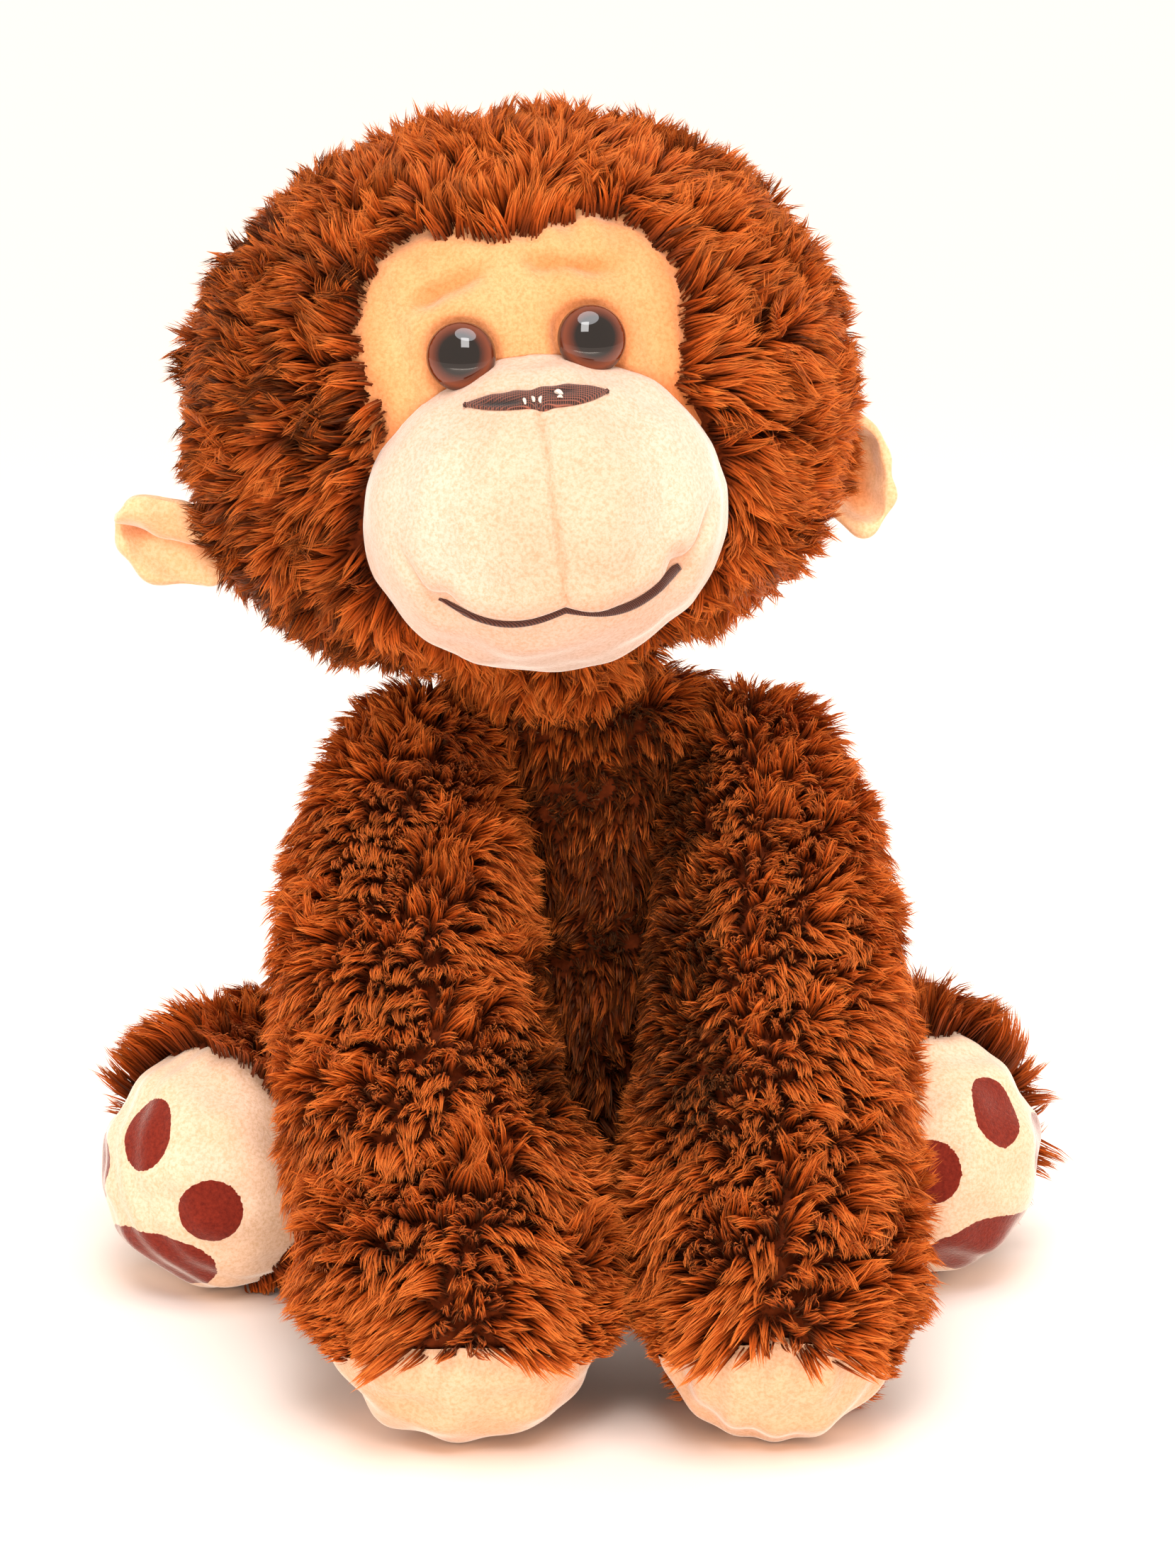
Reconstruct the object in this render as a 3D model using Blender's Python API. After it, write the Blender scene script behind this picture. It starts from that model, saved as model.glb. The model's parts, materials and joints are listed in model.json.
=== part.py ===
"""A sitting stuffed monkey: long-pile fur panels, bare short-nap face, palms and soles, and fibre filling.

The toy sits on the floor plane Z = 0 and faces -Y. Its own left side is +X. All lengths are in metres.
Each fur panel is one solid from its backing cloth to the middle of its pile. Bare panels are cloth only.
A limb, the neck and an ear are each held by a seam, and their solids are built round a pivot in it.
"""

import math

import bmesh
import bpy
from mathutils import Matrix, Vector

MM = 0.001

# Cloth and filling
PILE = 3.4 * MM  # half-depth of the pile, which the fur panels include
CLOTH = 1.2 * MM  # backing cloth and short nap
GAP = 0.35 * MM  # between touching pieces
BEYOND = 200 * MM  # farther than any piece reaches
FILLING = -(PILE + CLOTH + GAP)  # offset of the filling's surface from a fur panel's outer surface
INSIDE = -(PILE + CLOTH)  # offset of a panel's inner surface
BARE = -PILE  # offset of a bare panel's outer surface

# Head, in its own upright frame whose origin is the neck pivot
NECK_PIVOT = Vector((-9, 3, 151)) * MM
NECK_RADIUS = 21.5 * MM
HEAD_YAW, HEAD_ROLL, HEAD_PITCH = math.radians(5), math.radians(-7), math.radians(-6)
HEAD_LIFT = 60 * MM  # from the neck pivot to the head's centre
HEAD_RADII = Vector((78, 65, 63.5)) * MM
CHEEK_POWER = 2.6  # the lower half is a fuller curve than an ellipse, whose power is 2
GUSSET_HALF_WIDTH = 24 * MM
BROW_HALF = (  # X and Z down the brow patch's left edge: a lobe, a straight side, and behind the muzzle
    (0, 35.5),
    (11, 37.5),
    (22, 38.5),
    (31.5, 33),
    (36.5, 22),
    (36, 8),
    (31, -8),
    (18, -18),
    (0, -20),
)
FACE_CUT_Y, FACE_CUT_HALF_DEPTH = -60 * MM, 40 * MM  # the part of the head's depth that the brow patch is in

# Muzzle and face, measured from the head's centre
MUZZLE_CENTRE = Vector((0, -50, -27)) * MM
MUZZLE_RADII = Vector((42, 38, 37)) * MM
CHIN_SEAM_RISE = 0.28  # backwards, for its length
MOUTH_HEIGHT, MOUTH_HALF_WIDTH = -47 * MM, 27 * MM
MOUTH_DIP, MOUTH_RISE = 2.6 * MM, 5.4 * MM  # on each side of the middle, and at the corners
MOUTH_TUBE = 0.9 * MM
MOUTH_POINTS = 19
NOSE_HALF_WIDTH, NOSE_HALF_HEIGHT = 15.7 * MM, 4.2 * MM
NOSE_CLOTH = 0.7 * MM
NOSE_CUT_Y, NOSE_CUT_HALF_DEPTH = -80 * MM, 20 * MM
EYE_RADIUS = 7.5 * MM
EYE_DOME, EYE_RIM = 5.2 * MM, 0.8 * MM
EYE_LIFT = 0.9 * MM  # the dome's flat back rests on the nap
EYE_X, EYE_Z = 14.4 * MM, 10 * MM
EYE_POST_RADIUS, EYE_POST_LENGTH = 1.3 * MM, 11 * MM
EYE_TURN_OUT, EYE_TURN_UP = math.radians(8), math.radians(8)
EYE_HOLE_HALF_DEPTH = 20 * MM
WASHER_RADIUS, WASHER_THICKNESS, WASHER_DEPTH = 6.5 * MM, 1.6 * MM, 6 * MM

# Ears
EAR_X, EAR_Y, EAR_Z = 73 * MM, 6 * MM, -29 * MM
EAR_HALF_HEIGHT, EAR_REACH = 16 * MM, 18 * MM
EAR_ROOT = 4 * MM  # how far the ear's outline goes on inside the head's, where it is cut away
EAR_PANEL = 1.4 * MM
EAR_CUP = 5 * MM

# Torso
BASE_HEIGHT = 11 * MM  # up to the seat panel's seam
TORSO_SECTIONS = (  # height, centre Y, half-width, half-depth
    (0, 12, 39, 31),
    (3, 12, 45, 37),
    (9, 12, 50.5, 42),
    (20, 12, 55, 46),
    (38, 12, 57, 47.5),
    (58, 12, 56, 46.5),
    (80, 12, 52, 43),
    (103, 11, 50, 39),
    (120, 10, 48.5, 35),
    (131, 9, 46, 31),
    (138, 8, 39, 25.5),
    (141.5, 8, 26, 17),
)
LEAST_RADIUS, CROWN = 4 * MM, 1 * MM  # of the torso's filling at its top, and how far its last point rises
BACK_SEAM_Y = 12 * MM

# Care label, folded into the back seam near the seat
LABEL_LOW, LABEL_HIGH = Vector((-9, 60.0, 16)) * MM, Vector((9, 60.6, 40)) * MM

# Arms: the path's first point is the shoulder pivot, its last the middle of the paw
ARM_PATHS = {
    "left": ((38, 0, 119), (42, -22, 106), (42, -50, 86), (41, -80, 61), (40.5, -104, 39), (40.5, -121, 26)),
    "right": ((-38, 0, 119), (-42, -22, 106), (-41, -50, 86), (-36, -80, 61), (-29, -104, 39), (-26, -123, 26)),
}
ARM_RADII = {  # the right paw is spread wider
    "left": ((21, 21), (25.5, 25), (29, 28), (30, 29.5), (30.5, 29.5), (30, 29.5)),
    "right": ((21, 21), (25.5, 25), (29.5, 28), (31, 29.5), (33, 29.5), (34, 29)),
}
PALM_NORMAL = Vector((0, -0.54, -0.84))
PALM_DEPTH = 12.5 * MM  # from the paw's middle to the palm's seam plane

# Legs: hip pivot to the middle of the foot
LEG_PATHS = {
    "left": ((47, 20, 32), (57, 7, 33), (68, -5, 34.5), (80, -20, 31)),
    "right": ((-51, 17, 30), (-62, 4, 31), (-74, -9, 32.5), (-87, -25, 29)),
}
LEG_RADII = ((20, 20), (29, 29), (34.5, 34.5), (32.9, 32.9))
SOLE_DEPTH = 2 * MM  # from the foot's middle to the sole's seam plane

# The room that the torso leaves for swinging limbs: half the swing, about the middle of the swing
ARM_SWING_WAY = Vector((0.72, -0.66, -0.22))  # where a left arm that swings out ends up pointing
ARM_SWING = math.radians(36)
LEG_SWING_IN, LEG_SWING_OUT = math.radians(19), math.radians(21)
ROOM_LENGTH = 62 * MM
ROOM_BEND = 0.14  # how far a limb strays from straight, for its length
ROOM_SPARE = 2.6 * MM  # all round a limb, so that its facets clear the room's

COLOURS = {
    "fur_brown": ((0.36, 0.12, 0.035), 0.95),
    "minky_peach": ((0.87, 0.56, 0.32), 0.85),
    "nose_brown": ((0.10, 0.035, 0.02), 0.7),
    "eye_brown": ((0.045, 0.018, 0.012), 0.08),
    "washer_white": ((0.85, 0.85, 0.83), 0.4),
    "filling_white": ((0.92, 0.92, 0.90), 1.0),
    "label_white": ((0.9, 0.9, 0.88), 0.6),
}
SIDES = {"left": 1, "right": -1}


def clear_scene():
    for obj in list(bpy.data.objects):
        bpy.data.objects.remove(obj)


def make_collection(name):
    made = bpy.data.collections.new(name)
    bpy.context.scene.collection.children.link(made)
    return made


def make_material(name):
    colour, roughness = COLOURS[name]
    made = bpy.data.materials.new(name)
    made.use_nodes = True
    shader = made.node_tree.nodes["Principled BSDF"]
    shader.inputs["Base Color"].default_value = (*colour, 1)
    shader.inputs["Roughness"].default_value = roughness
    shader.inputs["Metallic"].default_value = 0
    return made


def add_piece(name, mesh, material, parent=None):
    """A visible sub-part, which becomes a node."""
    obj = bpy.data.objects.new(name, mesh)
    if not mesh.materials:
        mesh.materials.append(materials[material])
    monkey.objects.link(obj)
    obj.parent = parent
    return obj


def add_cutter(name, mesh, parent=None):
    obj = bpy.data.objects.new(name, mesh)
    cutters.objects.link(obj)
    obj.parent = parent
    obj.hide_render = True
    obj.display_type = "WIRE"
    return obj


def add_pivot(name, location, rotation=(0, 0, 0), parent=None):
    empty = bpy.data.objects.new(name, None)
    monkey.objects.link(empty)
    empty.location = location
    empty.rotation_euler = rotation
    empty.parent = parent
    return empty


def boolean(obj, operation, *others):
    for other in others:
        modifier = obj.modifiers.new(f"{operation.lower()} {other.name}", "BOOLEAN")
        modifier.operation = operation
        modifier.object = other
    return obj


def mesh_from(shape, name, smooth=True):
    """Ends a bmesh and gives its mesh."""
    bmesh.ops.recalc_face_normals(shape, faces=shape.faces)
    mesh = bpy.data.meshes.new(name)
    shape.to_mesh(mesh)
    shape.free()
    if smooth:
        mesh.shade_smooth()
        mesh.set_sharp_from_angle(angle=math.radians(40))
    return mesh


def ellipsoid(name, radii, lower_power=2.0, segments=24, rings=12):
    """An ellipsoid whose lower half can be fuller."""
    shape = bmesh.new()
    bmesh.ops.create_uvsphere(shape, u_segments=segments, v_segments=rings, radius=1)
    for vertex in shape.verts:
        height = vertex.co.z
        flat = math.hypot(vertex.co.x, vertex.co.y)
        if height < 0 and flat > 1e-6:
            fuller = max(0.0, 1 - abs(height) ** lower_power) ** (1 / lower_power)
            vertex.co.x *= fuller / flat
            vertex.co.y *= fuller / flat
        vertex.co = Vector(a * b for a, b in zip(vertex.co, radii))
    return mesh_from(shape, name)


def box(name, low, high):
    shape = bmesh.new()
    bmesh.ops.create_cube(shape, size=1)
    low, high = Vector(low), Vector(high)
    for vertex in shape.verts:
        vertex.co = Vector(l + (c + 0.5) * (h - l) for l, h, c in zip(low, high, vertex.co))
    return mesh_from(shape, name, smooth=False)


def plate(name, points, half_depth, resolution=5):
    """A flat outline, smooth through its points, drawn in local X and Z and as deep as asked along Y."""
    curve = bpy.data.curves.new(name, "CURVE")
    curve.dimensions = "2D"
    curve.fill_mode = "BOTH"
    curve.extrude = half_depth
    curve.resolution_u = resolution
    spline = curve.splines.new("BEZIER")
    spline.bezier_points.add(len(points) - 1)
    for knot, (x, z) in zip(spline.bezier_points, points):
        knot.co = (x, z, 0)
        knot.handle_left_type = knot.handle_right_type = "AUTO"
    spline.use_cyclic_u = True
    guide = bpy.data.objects.new(name, curve)
    cutters.objects.link(guide)
    bpy.context.view_layer.update()
    mesh = bpy.data.meshes.new_from_object(guide.evaluated_get(bpy.context.evaluated_depsgraph_get()))
    bpy.data.objects.remove(guide)
    shape = bmesh.new()
    shape.from_mesh(mesh)
    bpy.data.meshes.remove(mesh)
    bmesh.ops.remove_doubles(shape, verts=shape.verts, dist=1e-6)
    bmesh.ops.rotate(shape, verts=shape.verts, matrix=Matrix.Rotation(math.radians(90), 3, "X"))
    return mesh_from(shape, name, smooth=False)


def turned(name, profile, segments=16):
    """A solid of revolution about local Z, from (radius, height) pairs that start and end on the axis."""
    shape = bmesh.new()
    rings = []
    for radius, height in profile:
        if radius == 0:
            rings.append([shape.verts.new((0, 0, height))])
        else:
            turns = (2 * math.pi * k / segments for k in range(segments))
            points = ((radius * math.cos(t), radius * math.sin(t), height) for t in turns)
            rings.append([shape.verts.new(point) for point in points])
    join_rings(shape, rings)
    return mesh_from(shape, name)


def join_rings(shape, rings):
    """Faces between neighbouring rings of equal length; a ring of one point is a pole."""
    for low, high in zip(rings, rings[1:]):
        count = max(len(low), len(high))
        for k in range(count):
            following = (k + 1) % count
            corners = [low[k % len(low)], low[following % len(low)]]
            corners += [high[following % len(high)], high[k % len(high)]]
            shape.faces.new(dict.fromkeys(corners))


def torso_form(name, offset, segments=20):
    """The torso's loft of unlike ellipses, with a flat seat, moved in by a negative offset."""
    shape = bmesh.new()
    lowest, highest = TORSO_SECTIONS[0], TORSO_SECTIONS[-1]
    rings = [[shape.verts.new((0, lowest[1] * MM, -offset))]]
    for height, centre_y, half_width, half_depth in TORSO_SECTIONS:
        share = height / highest[0]
        level = height * MM - offset * (1 - 2 * share)
        across, deep = (max(r * MM + offset, LEAST_RADIUS) for r in (half_width, half_depth))
        steps = (2 * math.pi * k / segments for k in range(segments))
        rings.append(
            [shape.verts.new((across * math.cos(t), centre_y * MM + deep * math.sin(t), level)) for t in steps]
        )
    rings.append([shape.verts.new((0, highest[1] * MM, highest[0] * MM + offset + CROWN))])
    join_rings(shape, rings)
    return mesh_from(shape, name)


def smooth_between(values, steps):
    """Catmull-Rom points through the values, with so many steps in each stretch."""
    points = [Vector(v) for v in values]
    points = [2 * points[0] - points[1], *points, 2 * points[-1] - points[-2]]
    found = []
    for a, b, c, d in zip(points, points[1:], points[2:], points[3:]):
        for k in range(steps):
            t = k / steps
            square, cube = (2 * a - 5 * b + 4 * c - d) * t**2, (3 * b - a - 3 * c + d) * t**3
            found.append(0.5 * (2 * b + (c - a) * t + square + cube))
    return found + [points[-2]]


def limb_form(name, path, radii, offset, across=None, segments=16, steps=1, cap_steps=3):
    """A limb: a loft along its path, round at both ends, whose surface is moved by the offset.

    The radii are (across, in the plane of the path) at each point, before the offset.
    Across is level unless given.
    """
    origin = Vector(path[0]) * MM
    centres = [p * MM - origin for p in smooth_between(path, steps)]
    widths = smooth_between([(*r, 0) for r in radii], steps)
    sizes = [Vector((r.x * MM + offset, r.y * MM + offset)) for r in widths]
    tangents = [(b - a).normalized() for a, b in zip([centres[0], *centres], [*centres[1:], centres[-1]])]
    tangents[0] = (centres[1] - centres[0]).normalized()
    tangents[-1] = (centres[-1] - centres[-2]).normalized()
    across = across or tangents[len(tangents) // 2].cross(Vector((0, 0, 1))).normalized()
    quarter = math.pi / 2 / cap_steps
    shape = bmesh.new()
    sections = [(centres[0], sizes[0], tangents[0], -quarter * k) for k in range(cap_steps - 1, 0, -1)]
    sections += [(c, s, t, 0) for c, s, t in zip(centres, sizes, tangents)]
    sections += [(centres[-1], sizes[-1], tangents[-1], quarter * k) for k in range(1, cap_steps)]
    rings = [[shape.verts.new(centres[0] - tangents[0] * sizes[0].y)]]
    for centre, size, tangent, lean in sections:
        side = (across - tangent * across.dot(tangent)).normalized()
        rise = side.cross(tangent)
        middle = centre + tangent * size.y * math.sin(lean)
        grown = size * math.cos(lean)
        turns = (2 * math.pi * k / segments for k in range(segments))
        points = (middle + side * grown.x * math.cos(t) + rise * grown.y * math.sin(t) for t in turns)
        rings.append([shape.verts.new(point) for point in points])
    rings.append([shape.verts.new(centres[-1] + tangents[-1] * sizes[-1].y)])
    join_rings(shape, rings)
    return mesh_from(shape, name)


def half_space(name, point, normal, parent):
    """A large box whose one face passes through the point, with the normal pointing into it."""
    made = add_cutter(name, box(name, (-BEYOND, -BEYOND, 0), (BEYOND, BEYOND, BEYOND)), parent)
    made.rotation_mode = "QUATERNION"
    made.rotation_quaternion = Vector(normal).to_track_quat("Z", "Y")
    made.location = point
    return made


def muzzle_point(x, z, lift):
    """The point on the muzzle's front at this x and z from the head's centre, lifted off the cloth."""
    radii = MUZZLE_RADII + Vector((lift,) * 3)
    across, up = x / radii.x, (z - MUZZLE_CENTRE.z) / radii.z
    return Vector((x, MUZZLE_CENTRE.y - radii.y * math.sqrt(1 - across**2 - up**2), z))


def mouth_height(x):
    """A wide smile that dips on each side of a small peak in the middle."""
    share = abs(x) / MOUTH_HALF_WIDTH
    return MOUTH_HEIGHT - MOUTH_DIP * math.sin(math.pi * share) + MOUTH_RISE * share**2.5


# The head ----------------------------------------------------------------------------------------------------


def brow_outline(grow=0.0):
    """Two rounded lobes above, straight sides, and a lower edge behind the muzzle."""
    points = [(x * MM + (grow if x else 0), z * MM + (grow if z > 0 else 0)) for x, z in BROW_HALF]
    return points + [(-x, z) for x, z in reversed(points[1:-1])]


def head_cutters(frame):
    """Shapes that several of the head's pieces are cut by, all in the head's frame."""
    made = {
        "core": add_cutter("core_cut", ellipsoid("core_cut", grown(HEAD_RADII, INSIDE), CHEEK_POWER), frame),
        "brow": add_cutter("brow_cut", plate("brow_cut", brow_outline(), FACE_CUT_HALF_DEPTH), frame),
        "face": add_cutter("face_cut", plate("face_cut", brow_outline(GAP), FACE_CUT_HALF_DEPTH), frame),
        "muzzle": add_cutter("muzzle_cut", ellipsoid("muzzle_cut", grown(MUZZLE_RADII, GAP)), frame),
        "neck": add_cutter("neck_cut", ellipsoid("neck_cut", (NECK_RADIUS + GAP,) * 3), frame),
        "gusset": add_cutter("gusset_cut", gusset_box(0), frame),
        "sides": add_cutter("gusset_room", gusset_box(GAP), frame),
    }
    for name in ("brow", "face"):
        made[name].location.y = FACE_CUT_Y
    made["muzzle"].location = MUZZLE_CENTRE
    made["neck"].location.z = -HEAD_LIFT
    return made


def grown(radii, offset):
    return Vector(r + offset for r in radii)


def gusset_box(grow):
    half = GUSSET_HALF_WIDTH + grow
    return box("gusset", (-half, -BEYOND, -BEYOND), (half, BEYOND, BEYOND))


def build_head_shell(frame, cut):
    """Two side panels and a strip between them from brow to nape."""
    outer = ellipsoid("head_outer", HEAD_RADII, CHEEK_POWER)
    gusset = add_piece("head_gusset", outer, "fur_brown", frame)
    boolean(gusset, "DIFFERENCE", cut["core"], cut["face"], cut["muzzle"], cut["neck"])
    boolean(gusset, "INTERSECT", cut["gusset"])
    for side, sign in SIDES.items():
        panel = add_piece(f"head_side_{side}", outer, "fur_brown", frame)
        half = half_space(f"head_half_{side}", (sign * GUSSET_HALF_WIDTH / 2, 0, 0), (-sign, 0, 0), frame)
        boolean(panel, "DIFFERENCE", cut["core"], cut["face"], cut["muzzle"], cut["neck"], cut["sides"], half)


def build_brow(frame, cut):
    skin = ellipsoid("brow_patch", grown(HEAD_RADII, BARE), CHEEK_POWER)
    brow = add_piece("brow_patch", skin, "minky_peach", frame)
    boolean(brow, "DIFFERENCE", cut["core"], cut["muzzle"])
    boolean(brow, "INTERSECT", cut["brow"])
    for side in SIDES:
        boolean(brow, "DIFFERENCE", eye_hole(side, EYE_POST_RADIUS + GAP, frame))
    return brow


def eye_place(side):
    """Where an eye's post passes through the brow, and the way the eye faces."""
    radii = grown(HEAD_RADII, BARE)
    x = SIDES[side] * EYE_X
    y = -radii.y * math.sqrt(1 - (x / radii.x) ** 2 - (EYE_Z / radii.z) ** 2)
    facing = Matrix.Rotation(SIDES[side] * EYE_TURN_OUT, 3, "Z") @ Matrix.Rotation(-EYE_TURN_UP, 3, "X")
    return Vector((x, y, EYE_Z)), facing @ Vector((0, -1, 0))


def aim(obj, point, direction):
    """Puts the object at the point with its local Z along the direction."""
    obj.rotation_mode = "QUATERNION"
    obj.rotation_quaternion = direction.to_track_quat("Z", "Y")
    obj.location = point
    return obj


def eye_hole(side, radius, frame):
    """A cylinder along the eye's post, deep enough for the washer."""
    depth = EYE_HOLE_HALF_DEPTH
    mesh = turned("eye_hole", ((0, -depth), (radius, -depth), (radius, depth), (0, depth)))
    point, facing = eye_place(side)
    return aim(add_cutter(f"eye_hole_{side}", mesh, frame), point, facing)


def build_eyes(frame):
    """Safety eyes: a dome on a post that goes through the brow, held by a washer behind it."""
    post = ((0, -EYE_POST_LENGTH), (EYE_POST_RADIUS, -EYE_POST_LENGTH), (EYE_POST_RADIUS, EYE_LIFT))
    rise = EYE_DOME - EYE_RIM
    dome = [(EYE_RADIUS * math.cos(t), EYE_LIFT + EYE_RIM + rise * math.sin(t)) for t in quarter_turn(4)]
    eye_mesh = turned("safety_eye", [*post, (EYE_RADIUS, EYE_LIFT), *dome[:-1], (0, EYE_LIFT + EYE_DOME)])
    hole, rim, half = EYE_POST_RADIUS + GAP, WASHER_RADIUS, WASHER_THICKNESS / 2
    for side in SIDES:
        point, facing = eye_place(side)
        aim(add_piece(f"eye_{side}", eye_mesh, "eye_brown", frame), point, facing)
        disc = turned("washer", ((0, -half), (rim, -half), (rim, half), (0, half)))
        washer = aim(add_piece(f"eye_washer_{side}", disc, "washer_white", frame), point, facing)
        washer.location = point - facing * WASHER_DEPTH
        boolean(washer, "DIFFERENCE", eye_hole(side, hole, frame))


def quarter_turn(steps):
    return [math.pi / 2 * k / steps for k in range(steps + 1)]


def build_head_filling(frame, cut):
    skin = ellipsoid("head_stuffing", grown(HEAD_RADII, FILLING), CHEEK_POWER)
    filling = add_piece("head_stuffing", skin, "filling_white", frame)
    boolean(filling, "DIFFERENCE", cut["neck"])
    for side in SIDES:
        boolean(filling, "DIFFERENCE", eye_hole(side, WASHER_RADIUS + 2 * GAP, frame))


def build_muzzle(frame, cut):
    """Two cheek panels, seamed between nose and mouth, a chin panel below the mouth, and their filling."""
    outer = ellipsoid("muzzle_outer", MUZZLE_RADII)
    hollow = add_cutter("muzzle_hollow", ellipsoid("muzzle_hollow", grown(MUZZLE_RADII, -CLOTH)), frame)
    mouth = MUZZLE_CENTRE + Vector((0, -MUZZLE_RADII.y, MOUTH_HEIGHT - MUZZLE_CENTRE.z))
    tilt = Vector((0, CHIN_SEAM_RISE, -1)).normalized()
    below = half_space("chin_room", mouth, tilt, frame)
    above = half_space("cheek_room", mouth + tilt * GAP, -tilt, frame)
    hollow.location = MUZZLE_CENTRE
    eye_room = {side: eye_hole(side, EYE_RADIUS + GAP, frame) for side in SIDES}
    for side, sign in SIDES.items():
        cheek = add_piece(f"muzzle_cheek_{side}", outer, "minky_peach", frame)
        cheek.location = MUZZLE_CENTRE
        other = half_space(f"muzzle_half_{side}", (sign * GAP / 2, 0, 0), (-sign, 0, 0), frame)
        boolean(cheek, "DIFFERENCE", hollow, cut["core"], below, other, eye_room[side])
    chin = add_piece("muzzle_chin", outer, "minky_peach", frame)
    chin.location = MUZZLE_CENTRE
    boolean(chin, "DIFFERENCE", hollow, cut["core"], above)
    skin = ellipsoid("muzzle_stuffing", grown(MUZZLE_RADII, -CLOTH - GAP))
    filling = add_piece("muzzle_stuffing", skin, "filling_white", frame)
    filling.location = MUZZLE_CENTRE
    boolean(filling, "DIFFERENCE", cut["core"], *eye_room.values())


def build_nose(frame):
    """A slim woven patch, pointed at both ends, lying on top of the muzzle."""
    skin = ellipsoid("nose_patch", grown(MUZZLE_RADII, GAP + NOSE_CLOTH))
    patch = add_piece("nose_patch", skin, "nose_brown", frame)
    patch.location = MUZZLE_CENTRE
    hollow = add_cutter("nose_hollow", ellipsoid("nose_hollow", grown(MUZZLE_RADII, GAP)), frame)
    hollow.location = MUZZLE_CENTRE
    wide, high = NOSE_HALF_WIDTH, NOSE_HALF_HEIGHT
    outline = [(-wide, 0), (-wide * 0.5, high * 0.85), (0, high * 0.6), (wide * 0.5, high * 0.85)]
    outline += [(wide, 0), (wide * 0.5, -high * 0.75), (0, -high), (-wide * 0.5, -high * 0.75)]
    shape = add_cutter("nose_shape", plate("nose_shape", outline, NOSE_CUT_HALF_DEPTH), frame)
    shape.location.y = NOSE_CUT_Y
    boolean(patch, "DIFFERENCE", hollow)
    boolean(patch, "INTERSECT", shape)


def build_mouth(frame):
    """The stitched line of the mouth, one thick cord of thread."""
    curve = bpy.data.curves.new("mouth_line", "CURVE")
    curve.dimensions = "3D"
    curve.bevel_depth = MOUTH_TUBE
    curve.bevel_resolution = 1
    curve.use_fill_caps = True
    spline = curve.splines.new("POLY")
    spline.points.add(MOUTH_POINTS - 1)
    for k, knot in enumerate(spline.points):
        x = MOUTH_HALF_WIDTH * (2 * k / (MOUTH_POINTS - 1) - 1)
        knot.co = (*muzzle_point(x, mouth_height(x), MOUTH_TUBE + 2 * GAP), 1)
    add_piece("mouth_line", curve, "nose_brown", frame)


def build_ear(side, frame):
    """A cupped ear of two panels, on a pivot at the seam where it leaves the head."""
    sign = SIDES[side]
    pivot = add_pivot(f"ear_pivot_{side}", (sign * EAR_X, EAR_Y, EAR_Z), parent=frame)
    room = add_cutter(f"ear_room_{side}", ellipsoid("ear_room", grown(HEAD_RADII, GAP), CHEEK_POWER), frame)
    for name, back in (("front", 0), ("back", EAR_PANEL + GAP)):
        mesh = ear_panel(f"ear_{name}", back, sign)
        panel = add_piece(f"ear_{name}_{side}", mesh, "minky_peach", pivot)
        boolean(panel, "DIFFERENCE", room)


def ear_panel(name, back, sign, rings=3, segments=18):
    """One cupped panel: a thin lens bowed away from the face, built from the ear's pivot outwards in X."""
    shape = bmesh.new()

    def skin(depth):
        found = []
        for ring in range(rings, 0, -1):
            share = ring / rings
            bow = EAR_CUP * (1 - share**2) + depth
            found.append([ear_vertex(share, k, bow) for k in range(segments)])
        return [*found, [shape.verts.new(ear_place(0, 0, EAR_CUP + depth, sign))]]

    def ear_vertex(share, k, bow):
        return shape.verts.new(ear_place(share, 2 * math.pi * k / segments, bow, sign))

    front, rear = skin(back), skin(back + EAR_PANEL)
    join_rings(shape, front)
    join_rings(shape, rear)
    join_rings(shape, [front[0], rear[0]])
    return mesh_from(shape, name)


def ear_place(share, turn, bow, sign):
    """A point of the ear's disc: share of its radius, angle round it, and depth behind its rim."""
    out = EAR_REACH / 2 + share * (EAR_REACH / 2 + EAR_ROOT) * math.cos(turn)
    return Vector((sign * out, bow, share * EAR_HALF_HEIGHT * math.sin(turn)))


def build_head():
    pivot = add_pivot("head_pivot", NECK_PIVOT, (0, 0, 0))
    pivot.rotation_mode = "QUATERNION"
    yaw, roll = Matrix.Rotation(HEAD_YAW, 3, "Z"), Matrix.Rotation(HEAD_ROLL, 3, "Y")
    pivot.rotation_quaternion = (yaw @ roll @ Matrix.Rotation(HEAD_PITCH, 3, "X")).to_quaternion()
    frame = add_pivot("head_centre", (0, 0, HEAD_LIFT), parent=pivot)
    cut = head_cutters(frame)
    build_head_shell(frame, cut)
    build_brow(frame, cut)
    build_eyes(frame)
    build_head_filling(frame, cut)
    build_muzzle(frame, cut)
    build_nose(frame)
    build_mouth(frame)
    for side in SIDES:
        build_ear(side, frame)


def build_neck():
    """The firm plug of filling that the neck seam is drawn round."""
    neck = add_piece("neck_stuffing", ellipsoid("neck_stuffing", (NECK_RADIUS,) * 3), "filling_white")
    neck.location = NECK_PIVOT


# The torso ---------------------------------------------------------------------------------------------------


def swing_room(side, kind, path, radii, ways, axis):
    """A fan that a limb stays inside while it swings about its pivot, between two ways it can point."""
    middle = (ways[0] + ways[1]).normalized()
    half = ways[0].angle(ways[1]) / 2
    reaches = [(Vector(p) - Vector(path[0])).length * MM for p in path]
    kept = [k for k, reach in enumerate(reaches) if reach < ROOM_LENGTH]
    start = Vector(path[0]) * MM
    line = [(start + middle * reaches[k]) / MM for k in kept]
    bend = [ROOM_BEND * reaches[k] / MM for k in kept]
    fan = [(radii[k][0] + reaches[k] * math.sin(half) / MM + b, radii[k][1] + b) for k, b in zip(kept, bend)]
    across = axis.cross(middle).normalized()
    room = add_cutter(f"{kind}_room_{side}", limb_form(f"{kind}_room", line, fan, ROOM_SPARE, across))
    room.location = start
    return room


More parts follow.
